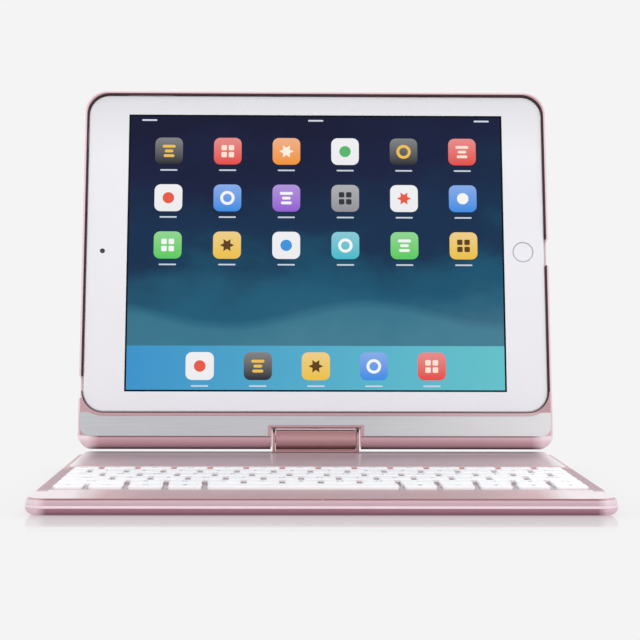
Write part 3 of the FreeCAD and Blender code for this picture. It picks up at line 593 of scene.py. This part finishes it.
# a strip of rounded section that follows a flat path
def bandRecipe():
    recipe = Recipe("bandAlongPath")
    width, height, rounding = recipe.askAll("Width", "Height", "Rounding")
    path = recipe.add("GeometryNodeMeshToCurve", None, {"Mesh": recipe.start})
    path = recipe.add("GeometryNodeSetCurveNormal", {"mode": "Z_UP"}, {"Curve": path})
    section = recipe.roundedBox(width, height, rounding)
    return recipe.close(recipe.add("GeometryNodeCurveToMesh", None,
                                   {"Curve": path, "Profile Curve": section, "Fill Caps": True}))


band = bandRecipe()


def bandMesh(points, links, finish, width, height, rounding):
    mesh = band.grow(pointMesh(points, links), finishes[finish],
                     **inMetres(Width=width, Height=height, Rounding=rounding))
    return smoothShade(mesh)


# bright bead along the seam of the two covers, a painted highlight line
bead = {"inset": 0.2, "width": 0.5, "height": 1.15, "rounding": 0.22, "seam": 4.25, "corner": 9.5}


def seamHighlightBead():
    low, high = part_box("base_bottom_cover")
    inset = bead["inset"]
    path = roundedPath((low.x / mm + inset, low.y / mm + inset), (high.x / mm - inset, high.y / mm - inset),
                       bead["corner"] - inset)
    mesh = bandMesh(path, chain(len(path), True), "roseBead", bead["width"], bead["height"], bead["rounding"])
    mesh.transform(Matrix.Translation((0, 0, bead["seam"] * mm)))
    keep("seamHighlightBead", mesh, "base", "rose_shell")


seamHighlightBead()

# key legends: single letters, digits, arrows and plain key names
legend = {"unit": 17.0, "inset": 1.25, "letter": 4.4, "word": 2.8, "curveSteps": 2, "relief": 0.03,
          "arrow": 1.5, "diamond": 1.4}
legendRows = {
    "keys_function_row": ["esc"] + ["F%d" % number for number in range(1, 13)] + ["del"],
    "keys_number_row": list("`1234567890-="),
    "keys_upper_row": list("QWERTYUIOP[]\\"),
    "keys_home_row": list("ASDFGHJKL;'"),
    "keys_lower_row": list("ZXCVBNM,./"),
    "key_tab": ["tab"],
    "key_caps_lock": ["caps"],
    "key_enter": ["enter"],
    "key_shift_left": ["shift"],
    "key_shift_right": ["shift"],
    "key_backspace": ["back"],
    "key_fn": ["fn"],
    "key_control": ["ctrl"],
    "key_alt_left": ["alt"],
    "key_alt_right": ["alt"],
}
# caps of another width than their row's, in units
oddCaps = {"keys_function_row": {0: 0.85, 13: 0.85}, "keys_number_row": {0: 0.61},
           "keys_upper_row": {12: 0.65}}
# an arrow or a diamond: its corners and turn
legendShapes = {"key_arrow_right": (3, 0), "key_arrow_up": (3, 90), "key_arrow_left": (3, 180),
                "key_arrow_down": (3, 270), "key_meta_left": (4, 0), "key_meta_right": (4, 0)}


def slab(outline, low, high):
    work = bmesh.new()
    under = [work.verts.new(Vector((x, y, low)) * mm) for x, y in outline]
    over = [work.verts.new(Vector((x, y, high)) * mm) for x, y in outline]
    work.faces.new(under[::-1])
    work.faces.new(over)
    for index in range(len(outline)):
        after = (index + 1) % len(outline)
        work.faces.new((under[index], under[after], over[after], over[index]))
    return settled(work)


def wordMesh(word):
    data = bpy.data.curves.new("word", "FONT")
    data.body = word
    data.size = (legend["letter"] if len(word) == 1 else legend["word"]) * mm
    data.align_x = "CENTER"
    data.align_y = "CENTER"
    data.extrude = legend["relief"] / 2 * mm
    data.resolution_u = legend["curveSteps"]
    holder = bpy.data.objects.new("word", data)
    mesh = bpy.data.meshes.new_from_object(holder)
    bpy.data.objects.remove(holder)
    return mesh


def shapeMesh(corners, turn):
    radius = legend["arrow"] if corners == 3 else legend["diamond"]
    angles = [math.radians(turn + 360 * corner / corners) for corner in range(corners)]
    half = legend["relief"] / 2
    return slab([(radius * math.cos(angle), radius * math.sin(angle)) for angle in angles], -half, half)


def capMiddles(node, count):
    odd = oddCaps.get(node, {})
    low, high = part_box(node)
    left = low.x / mm - legend["inset"]
    span = high.x / mm + legend["inset"] - left
    oddSpan = sum(odd.values()) * legend["unit"]
    share = (span - oddSpan) / max(count - len(odd), 1)
    for index in range(count):
        width = odd[index] * legend["unit"] if index in odd else share
        yield Vector((left + width / 2, (low.y + high.y) / 2 / mm, high.z / mm)) * mm
        left += width


def printLegend(node, meshes):
    work = bmesh.new()
    for mesh, place in zip(meshes, capMiddles(node, len(meshes))):
        mesh.transform(Matrix.Translation(place))
        work.from_mesh(mesh)
    bmesh.ops.remove_doubles(work, verts=work.verts, dist=weldGap)
    printed = settled(work)
    printed.materials.append(finishes["legendGrey"])
    keep("legend_" + node, printed, nodes[node]["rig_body"], "key_white")


for node, words in legendRows.items():
    printLegend(node, [wordMesh(word) for word in words])
for node, (corners, turn) in legendShapes.items():
    printLegend(node, [shapeMesh(corners, turn)])
print("legends printed:", len(legendRows) + len(legendShapes), "key bodies")


# cross recesses in the screw heads: raised plates, dark with painted shade for the recesses
def crossRecipe():
    recipe = Recipe("crossRecess")
    length, width, depth = recipe.askAll("Length", "Width", "Depth")
    along = recipe.add("GeometryNodeMeshCube", None, {"Size": recipe.vector(length, width, depth)})
    over = recipe.add("GeometryNodeMeshCube", None, {"Size": recipe.vector(width, length, depth)})
    cross = recipe.add("GeometryNodeMeshBoolean", {"operation": "UNION"}, {"Mesh 2": [along, over]})
    return recipe.close(recipe.add("GeometryNodeInstanceOnPoints", None,
                                   {"Points": recipe.start, "Instance": cross}))


cross = crossRecipe()
screwCross = {"length": 2.0, "width": 0.45, "depth": 0.06}
baseScrews = {"side": 111.25, "front": -171.7, "rear": 1.0, "middle": -35.0, "under": 0.6}
chinScrews = {"across": (38.0, 75.0, 112.0), "high": 4.2, "back": -5.17}
hingeScrews = {"across": 16.0, "back": -5.17, "scale": 0.55}


def screwCrosses(places, scale=1.0):
    return cross.grow(pointMesh(places), finishes["recessSteel"],
                      **inMetres(Length=screwCross["length"] * scale, Width=screwCross["width"] * scale,
                                 Depth=screwCross["depth"]))


def baseScrewPlaces():
    side, under = baseScrews["side"], baseScrews["under"]
    front = [(x, baseScrews["front"], under) for x in (-side, 0, side)]
    rear = [(x, baseScrews["rear"], under) for x in (-side, side)]
    return front + rear + [(0, baseScrews["middle"], under)]


keep("baseScrewCrosses", screwCrosses(baseScrewPlaces()), "base", "steel")

sides = {
    "front": Matrix.Identity(4),
    "back": Matrix(((-1, 0, 0), (0, 1, 0), (0, 0, -1))).to_4x4(),
    "right": Matrix(((0, 0, 1), (1, 0, 0), (0, 1, 0))).to_4x4(),
    "left": Matrix(((0, 0, -1), (-1, 0, 0), (0, 1, 0))).to_4x4(),
}


def ontoDisplay(mesh, side="front", place=(0, 0, 0)):
    mesh.transform(ontoFace @ Matrix.Translation(Vector(place) * mm) @ sides[side])
    return mesh


chinPlaces = [(end * across, chinScrews["high"], chinScrews["back"])
              for end in (-1, 1) for across in chinScrews["across"]]
keep("chinScrewCrosses", ontoDisplay(screwCrosses(chinPlaces)), "tray", "steel")
hingePlaces = [(end * hingeScrews["across"], 0, hingeScrews["back"]) for end in (-1, 1)]
keep("hingeScrewCrosses", ontoDisplay(screwCrosses(hingePlaces, hingeScrews["scale"])),
     "hinge_head", "steel")
print("screw heads crossed")

# strips that close the hinge's gaps: lip on the pad, a dark strip of painted shade and a bright bead of
# painted highlight on the block, lips in the tray's notch
hingeStrips = {
    "padLip": {"body": "base", "slot": "rose_shell", "finish": "roseHinge",
               "across": (-20.4, 20.4), "at": -0.8, "wide": 0.4, "low": 10.1, "high": 10.9},
    "blockWiper": {"body": "hinge_head", "slot": "grey_rubber", "finish": "sealRubber",
                   "across": (-20.3, 20.3), "at": 4.1, "wide": 0.5, "low": 3.7, "high": 4.5},
    "blockBead": {"body": "hinge_head", "slot": "rose_shell", "finish": "roseBead",
                  "across": (-20.3, 20.3), "at": 4.65, "wide": 0.6, "low": 3.7, "high": 4.4},
}
notchLips = {"inner": 22.62, "outer": 23.3, "bottom": -4.4, "top": 5.0, "low": 4.2, "high": 5.15}
stripRounding = 0.12


def hingeStrip(name, strip):
    path = [(x, strip["at"], 0) for x in strip["across"]]
    mesh = bandMesh(path, chain(2), strip["finish"], strip["wide"], strip["high"] - strip["low"],
                    stripRounding)
    middle = (strip["low"] + strip["high"]) / 2
    if strip["body"] == "base":
        mesh.transform(Matrix.Translation((0, 0, middle * mm)))
    else:
        ontoDisplay(mesh, "front", (0, 0, middle))
    keep(name, mesh, strip["body"], strip["slot"])


for name, strip in hingeStrips.items():
    hingeStrip(name, strip)


def notchLip():
    middle = (notchLips["inner"] + notchLips["outer"]) / 2
    ends = [(end * middle, high, 0) for end in (-1, 1) for high in (notchLips["bottom"], notchLips["top"])]
    mesh = bandMesh(ends, [(0, 1), (2, 3)], "roseTray", notchLips["outer"] - notchLips["inner"],
                    notchLips["high"] - notchLips["low"], stripRounding)
    ontoDisplay(mesh, "front", (0, 0, (notchLips["low"] + notchLips["high"]) / 2))
    keep("notchLips", mesh, "tray", "rose_shell")


notchLip()
print("hinge gaps closed")

tablet = {"side": 120.0, "bottom": 13.5, "middle": 98.25, "top": 183.0, "corner": 10.8, "front": 4.2,
          "sockets": 1.2, "back": -3.25}

# dark strip between the tray's frame and the tablet, a painted gap shadow, open at the jack and charging cuts
gapShadowLiner = {"low": 4.4, "high": 5.24, "wide": 0.86, "narrow": 0.5, "gap": 0.12, "rounding": 0.12,
        "jack": (20.5, 32.0), "port": (91.0, 105.0)}


def gapShadowArc(x, y, radius, start, steps=10):
    angles = [math.radians(start - 90 * step / steps) for step in range(steps + 1)]
    return [(x + radius * math.cos(angle), y + radius * math.sin(angle), 0) for angle in angles]


def gapShadowRun(name, points, width):
    mesh = bandMesh(points, chain(len(points)), "sealRubber", width, gapShadowLiner["high"] - gapShadowLiner["low"],
                    gapShadowLiner["rounding"])
    ontoDisplay(mesh, "front", (0, 0, (gapShadowLiner["high"] + gapShadowLiner["low"]) / 2))
    keep(name, mesh, "tray", "grey_rubber")


def frameGapShadow():
    wide = gapShadowLiner["gap"] + gapShadowLiner["wide"] / 2
    narrow = gapShadowLiner["gap"] + gapShadowLiner["narrow"] / 2
    inner = tablet["side"] - tablet["corner"]
    high = tablet["top"] - tablet["corner"]
    low = tablet["bottom"] + tablet["corner"]
    across = tablet["side"] + wide
    bend = tablet["corner"] + wide
    over = [(-across, gapShadowLiner["jack"][1], 0)]
    over += gapShadowArc(-inner, high, bend, 180) + gapShadowArc(inner, high, bend, 90)
    over += [(across, gapShadowLiner["port"][1], 0)]
    gapShadowRun("gapShadowOverTop", over, gapShadowLiner["wide"])
    gapShadowRun("gapShadowRight", [(across, gapShadowLiner["port"][0], 0), (across, low, 0)], gapShadowLiner["wide"])
    bend = tablet["corner"] + narrow
    under = gapShadowArc(inner, low, bend, 0) + gapShadowArc(-inner, low, bend, -90)
    gapShadowRun("gapShadowUnder", under, gapShadowLiner["narrow"])


frameGapShadow()


# turned pieces: a closed outline of radius and height spun about its own upright
def turned(outline, finish, sections=48):
    work = bmesh.new()
    rings = []
    for radius, height in outline:
        count = sections if radius else 1
        angles = [2 * math.pi * index / count for index in range(count)]
        spots = [Vector((radius * math.cos(angle), radius * math.sin(angle), height)) for angle in angles]
        rings.append([work.verts.new(spot * mm) for spot in spots])
    for first, second in zip(rings, rings[1:] + rings[:1]):
        for index in range(sections):
            after = (index + 1) % sections
            around = [first[index % len(first)], first[after % len(first)],
                      second[after % len(second)], second[index % len(second)]]
            corners = list(dict.fromkeys(around))
            if len(corners) > 2:
                work.faces.new(corners)
    bmesh.ops.recalc_face_normals(work, faces=work.faces)
    mesh = settled(work)
    mesh.materials.append(finish)
    return smoothShade(mesh)


home = {"body": "home_button", "side": "front", "place": (108.7, tablet["middle"], 4.1),
        "ringFinish": "ringSilver",
        "ring": [(4.85, -0.02), (5.3, -0.02), (5.3, 0.04), (5.15, 0.09), (4.85, 0.05)]}
frontCamera = {"body": "tablet", "side": "front", "place": (-111.5, tablet["middle"], tablet["front"]),
               "ringFinish": "slotBlack", "coreFinish": "lensBlack",
               "ring": [(0.75, -0.02), (1.3, -0.02), (1.3, 0.02), (1.2, 0.05), (0.8, 0.05), (0.75, 0.02)],
               "core": [(0.0, -0.02), (0.75, -0.02), (0.75, 0.01), (0.5, 0.03), (0.0, 0.045)]}
rearCamera = {"body": "tablet", "side": "back", "place": (-109.0, 173.0, tablet["back"]),
              "ringFinish": "ringSilver", "coreFinish": "lensBlack",
              "ring": [(3.1, -0.05), (4.4, -0.05), (4.4, 0.35), (4.2, 0.55), (3.4, 0.55), (3.1, 0.3)],
              "core": [(0.0, -0.05), (3.1, -0.05), (3.1, 0.3), (2.3, 0.36), (1.6, 0.22), (1.2, 0.3),
                       (0.0, 0.36)]}
jack = {"body": "tablet", "side": "left", "place": (-tablet["side"], 26.25, tablet["sockets"]),
        "ringFinish": "ringSilver", "coreFinish": "slotBlack",
        "ring": [(1.75, -0.02), (2.3, -0.02), (2.3, 0.04), (2.1, 0.1), (1.75, 0.08)],
        "core": [(0.0, -0.02), (1.75, -0.02), (1.75, 0.03), (0.9, 0.03), (0.8, 0.02), (0.0, 0.02)]}


def tabletFitting(name, spec):
    ring = turned(spec["ring"], finishes[spec["ringFinish"]])
    keep(name + "Ring", ontoDisplay(ring, spec["side"], spec["place"]), spec["body"], "tablet_silver")
    if "core" in spec:
        core = turned(spec["core"], finishes[spec["coreFinish"]])
        keep(name + "Core", ontoDisplay(core, spec["side"], spec["place"]), spec["body"], "dark_plastic")


tabletFitting("home", home)
tabletFitting("frontCamera", frontCamera)
tabletFitting("rearCamera", rearCamera)
tabletFitting("jack", jack)

# charging slot in the tablet's right edge, its ends a hair short of half round
chargeSlot = {"place": (tablet["side"], tablet["middle"], tablet["sockets"]), "length": 8.6, "height": 2.4,
              "endRound": 0.999, "rim": 0.22, "floor": 0.02}


def chargingSlot():
    half = Vector((chargeSlot["length"], chargeSlot["height"])) / 2
    path = roundedPath(-half, half, half.y * chargeSlot["endRound"])
    thick = chargeSlot["rim"]
    rim = bandMesh(path, chain(len(path), True), "ringSilver", thick, thick, thick / 3)
    keep("chargingRim", ontoDisplay(rim, "right", chargeSlot["place"]), "tablet", "tablet_silver")
    mouth = slab([(x, y) for x, y, z in path], -chargeSlot["floor"], chargeSlot["floor"])
    mouth.materials.append(finishes["slotBlack"])
    keep("chargingMouth", ontoDisplay(mouth, "right", chargeSlot["place"]), "tablet", "dark_plastic")


chargingSlot()
print("tablet fittings made")

# screen picture: night blue over teal hills in a soft mist, with a pale dock band
screen = {"width": 197.5, "height": 148.3, "glow": 0.95, "glass": (6, 8, 12), "rough": 0.07, "specular": 0.08,
          "border": (0.0045, 0.006), "borderTone": (3, 9, 16)}
night = {"tones": ((0.0, (64, 110, 132)), (0.32, (25, 84, 112)), (0.58, (18, 46, 77)), (0.85, (21, 27, 60)),
                   (1.0, (18, 21, 50))),
         "mist": (16, 16, 22), "detail": 4.0, "fine": 0.55, "drift": 0.7, "slant": 0.16, "lift": 0.08}
hills = {
    "far": {"wave": 5.2, "start": 0.6, "high": 0.40, "swing": 0.05, "fade": 0.05, "cover": 0.22,
            "tone": (48, 118, 146)},
    "near": {"wave": 8.6, "start": 2.4, "high": 0.29, "swing": 0.04, "fade": 0.04, "cover": 0.3,
             "tone": (88, 158, 178)},
}
dock = {"high": 24.0, "left": (60, 150, 208), "right": (104, 200, 208), "cover": 0.94}


def screenGlow():
    paint = Paint("screenGlow")
    axes = paint.axes(paint.place())
    rise = (axes["Up"] - (tablet["middle"] - screen["height"] / 2)) / screen["height"]
    across = axes["X"] / screen["width"] + 0.5
    mist = paint.noise(paint.place(night["mist"]), 1.0, night["detail"], night["fine"])
    drift = rise + (mist - 0.5) * night["drift"] - across * night["slant"] + night["lift"]
    stops = [(place, rgb(*tone)) for place, tone in night["tones"]]
    picture = paint.add("ShaderNodeValToRGB", {"stops": stops}, {"Fac": drift}, "Color")
    for hill in hills.values():
        swell = paint.add("ShaderNodeMath", {"operation": "SINE"}, {0: across * hill["wave"] + hill["start"]})
        below = hill["high"] + swell * hill["swing"] - rise
        cover = paint.spread(below, 0, hill["cover"], 0, hill["fade"])
        picture = paint.mix(cover, picture, rgb(*hill["tone"]))
    dockTone = paint.mix(across, rgb(*dock["left"]), rgb(*dock["right"]))
    picture = paint.mix((rise < dock["high"] / screen["height"]) * dock["cover"], picture, dockTone)
    side, end = screen["border"]
    border = (rise < end) + (rise > 1 - end) + (across < side) + (across > 1 - side)
    picture = paint.mix(border, picture, rgb(*screen["borderTone"]))
    return paint.set(Base_Color=rgb(*screen["glass"]), Roughness=screen["rough"], Emission_Color=picture,
                     Specular_IOR_Level=screen["specular"], Emission_Strength=screen["glow"])


dress("tablet_display", screenGlow())

# screen tiles: rounded plates in a grid, each with a plain geometric mark and a short bar below
tiles = {"size": 14.6, "corner": 3.3, "thick": 0.02, "mark": 7.6, "barWidth": 9.0, "barHeight": 0.8,
         "barDrop": 10.4, "barRound": 0.45, "lighter": 0.22, "rough": 0.2, "specular": 0.05}
tileTints = [(92, 206, 92), (242, 242, 245), (40, 42, 48), (240, 196, 66), (62, 142, 232),
             (232, 78, 70), (242, 242, 245), (150, 96, 214), (244, 150, 52), (70, 190, 206),
             (148, 148, 154), (242, 242, 245)]
markTints = [(250, 250, 250), (236, 92, 72), (244, 196, 82), (96, 66, 30), (250, 250, 250),
             (255, 232, 216), (66, 150, 222), (250, 250, 250), (255, 244, 226), (250, 250, 250),
             (52, 54, 60), (92, 186, 110)]
barTint = (206, 216, 228)
tileFields = {
    "screenTiles": {"columns": 6, "rows": 3, "across": 31.0, "up": 25.5, "middle": 127.0, "first": 0},
    "dockTiles": {"columns": 5, "rows": 1, "across": 30.0, "up": 0.0, "middle": 37.4, "first": 1},
}
statusBars = {"columns": 3, "across": 88.0, "middle": 169.4, "width": 8.0, "height": 0.9}


# each tile has its own tint, lighter towards the top
def tilePaint():
    paint = Paint("tilePaint")
    tint = paint.add("ShaderNodeAttribute", {"attribute_name": "tint"}, None, "Color")
    shade = paint.add("ShaderNodeAttribute", {"attribute_name": "shade"}, None, "Fac")
    picture = paint.mix(shade * tiles["lighter"], tint, rgb(255, 255, 255))
    return paint.set(Base_Color=rgb(*screen["glass"]), Roughness=tiles["rough"], Emission_Color=picture,
                     Specular_IOR_Level=tiles["specular"], Emission_Strength=screen["glow"])


def tinted(recipe, points, colours, first):
    order = recipe.add("GeometryNodeInputIndex") + first
    order = recipe.add("ShaderNodeMath", {"operation": "MODULO"}, {0: order, 1: len(colours)})
    stops = [(index / len(colours), rgb(*colour)) for index, colour in enumerate(colours)]
    colour = recipe.add("ShaderNodeValToRGB", {"steps": stops}, {"Fac": (order + 0.5) / len(colours)},
                        "Color")
    return recipe.add("GeometryNodeStoreNamedAttribute", {"data_type": "FLOAT_COLOR", "domain": "POINT"},
                      {"Geometry": points, "Name": "tint", "Value": colour})


def shaded(recipe, shape, value):
    return recipe.add("GeometryNodeStoreNamedAttribute", {"data_type": "FLOAT", "domain": "POINT"},
                      {"Geometry": shape, "Name": "shade", "Value": value})


def spotted(recipe, points, shape, **extra):
    return recipe.add("GeometryNodeInstanceOnPoints", None, {"Points": points, "Instance": shape, **extra})


# shares of the mark's size: a ring, a star, three bars, a dot and four squares
marks = {"sides": 28, "ring": (0.5, 0.3), "dot": 0.4, "star": (6, 0.26, 0.5),
         "bars": ((0.9, 0.34), (0.6, 0.0), (0.75, -0.34)), "barHigh": 0.2, "barCorner": 0.1,
         "square": 0.38, "squareCorner": 0.08, "squareAt": (-0.25, 0.25)}


def circle(recipe, radius):
    return recipe.add("GeometryNodeCurvePrimitiveCircle", None,
                      {"Resolution": marks["sides"], "Radius": radius})


def plainMarks(recipe, size, thick):
    ring = [circle(recipe, size * radius) for radius in marks["ring"]]
    dot = circle(recipe, size * marks["dot"])
    points, inner, outer = marks["star"]
    star = recipe.add("GeometryNodeCurveStar", None,
                      {"Points": points, "Inner Radius": size * inner, "Outer Radius": size * outer})
    bars = []
    for wide, high in marks["bars"]:
        bar = recipe.roundedBox(size * wide, size * marks["barHigh"], size * marks["barCorner"])
        bars.append(recipe.move(bar, 0, size * high, 0))
    edge = size * marks["square"]
    squares = [recipe.move(recipe.roundedBox(edge, edge, size * marks["squareCorner"]), size * x, size * y, 0)
               for x in marks["squareAt"] for y in marks["squareAt"]]
    plain = []
    for outline in (recipe.join(*ring), star, recipe.join(*bars), dot, recipe.join(*squares)):
        mark = recipe.move(shaded(recipe, recipe.slab(recipe.fill(outline), thick), 0.0), 0, 0, thick)
        plain.append(recipe.add("GeometryNodeGeometryToInstance", None, {"Geometry": mark}))
    return recipe.join(*plain)


def tileRecipe(name, marked):
    recipe = Recipe(name)
    columns = recipe.ask("Columns", "NodeSocketInt")
    rows = recipe.ask("Rows", "NodeSocketInt")
    across, up = recipe.askAll("Across Pitch", "Up Pitch")
    width, height, corner, thick = recipe.askAll("Width", "Height", "Corner", "Thick")
    points = recipe.add("GeometryNodeMeshGrid", None,
                        {"Size X": (columns - 1) * across, "Size Y": (rows - 1) * up, "Vertices X": columns,
                         "Vertices Y": rows})
    flat = recipe.fill(recipe.roundedBox(width, height, corner))
    spot = recipe.add("ShaderNodeSeparateXYZ", None, {"Vector": recipe.add("GeometryNodeInputPosition")})
    plate = shaded(recipe, recipe.slab(flat, thick), spot.also("Y") / height + 0.5)
    if not marked:
        return recipe.close(spotted(recipe, tinted(recipe, points, [barTint], 0), plate))
    first = recipe.ask("First Tint", "NodeSocketInt")
    mark, barWidth, barHeight, barDrop = recipe.askAll("Mark", "Bar Width", "Bar Height", "Bar Drop")
    plates = spotted(recipe, tinted(recipe, points, tileTints, first), plate)
    order = recipe.add("GeometryNodeInputIndex") + first
    signs = spotted(recipe, tinted(recipe, points, markTints, first), plainMarks(recipe, mark, thick),
                    **{"Pick Instance": True, "Instance Index": order})
    barFlat = recipe.fill(recipe.roundedBox(barWidth, barHeight, barHeight * tiles["barRound"]))
    bar = recipe.move(shaded(recipe, recipe.slab(barFlat, thick), 0.0), 0, barDrop * -1, 0)
    bars = spotted(recipe, tinted(recipe, points, [barTint], 0), bar)
    return recipe.close(recipe.join(plates, signs, bars))


def onScreen(name, mesh, middle):
    keep(name, ontoDisplay(mesh, "front", (0, middle, tablet["front"])), "tablet", "screen_panel")


def screenTiles():
    paint = tilePaint()
    recipe = tileRecipe("markedTiles", True)
    for name, field in tileFields.items():
        lengths = inMetres(AcrossPitch=field["across"], UpPitch=field["up"], Width=tiles["size"],
                           Height=tiles["size"], Corner=tiles["corner"], Thick=tiles["thick"],
                           Mark=tiles["mark"], BarWidth=tiles["barWidth"], BarHeight=tiles["barHeight"],
                           BarDrop=tiles["barDrop"])
        mesh = recipe.grow(pointMesh([]), paint, Columns=field["columns"], Rows=field["rows"],
                           FirstTint=field["first"], **lengths)
        onScreen(name, mesh, field["middle"])
    recipe = tileRecipe("plainBars", False)
    lengths = inMetres(AcrossPitch=statusBars["across"], UpPitch=0.0, Width=statusBars["width"],
                       Height=statusBars["height"], Corner=statusBars["height"] * tiles["barRound"],
                       Thick=tiles["thick"])
    mesh = recipe.grow(pointMesh([]), paint, Columns=statusBars["columns"], Rows=1, **lengths)
    onScreen("statusBars", mesh, statusBars["middle"])


screenTiles()
print("screen lit")

# stage: a pale sweep, soft boxes and the photograph's view
stage = {"paper": rgb(244, 244, 244), "contact": rgb(228, 211, 218), "matt": (0.8, 0.8, 0.8, 1), "fill": 0.55,
         "floorSize": 8.0, "reach": 0.028, "samples": 16, "sheen": 0.85, "gloss": 1.25, "blur": 0.03,
         "mirror": {"X": (-130.0, 130.0), "Y": (-215.0, 40.0)}, "fade": 12.0}
# lamps in metres and watts
lamps = {
    "keyBox": {"place": (-0.5, -1.4, 0.6), "aim": (0, -0.05, 0.08), "size": (1.2, 1.0), "power": 7},
    "topBox": {"place": (0.0, -0.3, 1.3), "aim": (0, -0.1, 0.0), "size": (1.2, 0.8), "power": 6.5},
    "fillBox": {"place": (1.0, -0.7, 0.5), "aim": (0, -0.05, 0.08), "size": (0.8, 0.8), "power": 3.5},
    "rimBox": {"place": (0.1, 0.9, 0.9), "aim": (0, 0, 0.08), "size": (1.2, 0.6), "power": 6},
}


def seenRays(bench):
    rays = bench.add("ShaderNodeLightPath", None, None, "Is Camera Ray")
    return rays + rays.also("Is Glossy Ray") + rays.also("Is Transmission Ray")


def paleFloor():
    half = stage["floorSize"] / 2
    mesh = bpy.data.meshes.new("floor")
    corners = [(-half, -half, 0), (half, -half, 0), (half, half, 0), (-half, half, 0)]
    mesh.from_pydata(corners, [], [(0, 1, 2, 3)])
    paint = Paint("floorPaper")
    paint.set(Base_Color=stage["matt"], Roughness=1.0, Specular_IOR_Level=0.0)
    shade = paint.add("ShaderNodeAmbientOcclusion", {"samples": stage["samples"]},
                      {"Distance": stage["reach"]}, "AO")
    paper = paint.mix(shade, stage["contact"], stage["paper"])
    glow = paint.add("ShaderNodeEmission", None, {"Color": paper, "Strength": 1.0})
    sheen = paint.add("ShaderNodeBsdfGlossy", None, {"Color": (1, 1, 1, 1), "Roughness": stage["blur"]})
    near = paint.within(paint.axes(paint.place()), stage["mirror"], stage["fade"])
    gloss = paint.add("ShaderNodeFresnel", None, {"IOR": stage["gloss"]})
    shown = paint.add("ShaderNodeMixShader", None, {0: near * gloss * stage["sheen"], 1: glow, 2: sheen})
    matt = Wire(paint.tree, paint.shader.outputs["BSDF"])
    both = paint.add("ShaderNodeMixShader", None, {0: seenRays(paint), 1: matt, 2: shown})
    plug(paint.tree, paint.tree.nodes["Material Output"].inputs["Surface"], both)
    mesh.materials.append(paint.material)
    linked("floor", mesh)


def paleWorld():
    world = bpy.data.worlds.new("studio")
    bpy.context.scene.world = world
    world.use_nodes = True
    bench = Bench(world.node_tree)
    ground = bench.tree.nodes["Background"]
    ground.inputs["Color"].default_value = stage["paper"]
    plug(bench.tree, ground.inputs["Strength"], stage["fill"] + seenRays(bench) * (1 - stage["fill"]))


def softBox(name, place, aim, size, power):
    lamp = bpy.data.lights.new(name, "AREA")
    lamp.shape = "RECTANGLE"
    lamp.size, lamp.size_y = size
    lamp.energy = power
    box = linked(name, lamp)
    box.visible_glossy = False  # keeps the lamps' own shapes out of the glass and the floor
    box.location = place
    box.rotation_euler = (Vector(aim) - Vector(place)).to_track_quat("-Z", "Y").to_euler()


view = {"focal": 1778.1, "picture": 640, "sensor": 36, "place": (-14.25, -911.1, 97.4), "down": 1.273,
        "right": 1.018, "roll": 0.16}


def photoCamera():
    data = bpy.data.cameras.new("camera")
    data.sensor_width = view["sensor"]
    data.lens = view["focal"] * view["sensor"] / view["picture"]
    camera = linked("camera", data)
    turn = (Matrix.Rotation(math.radians(-view["right"]), 4, "Z")
            @ Matrix.Rotation(math.radians(90 - view["down"]), 4, "X")
            @ Matrix.Rotation(math.radians(view["roll"]), 4, "Z"))
    camera.matrix_world = Matrix.Translation(Vector(view["place"]) * mm) @ turn
    bpy.context.scene.camera = camera


paleFloor()
paleWorld()
for name, lamp in lamps.items():
    softBox(name, **lamp)
photoCamera()
bpy.context.scene.view_settings.view_transform = "Standard"
print("stage set")
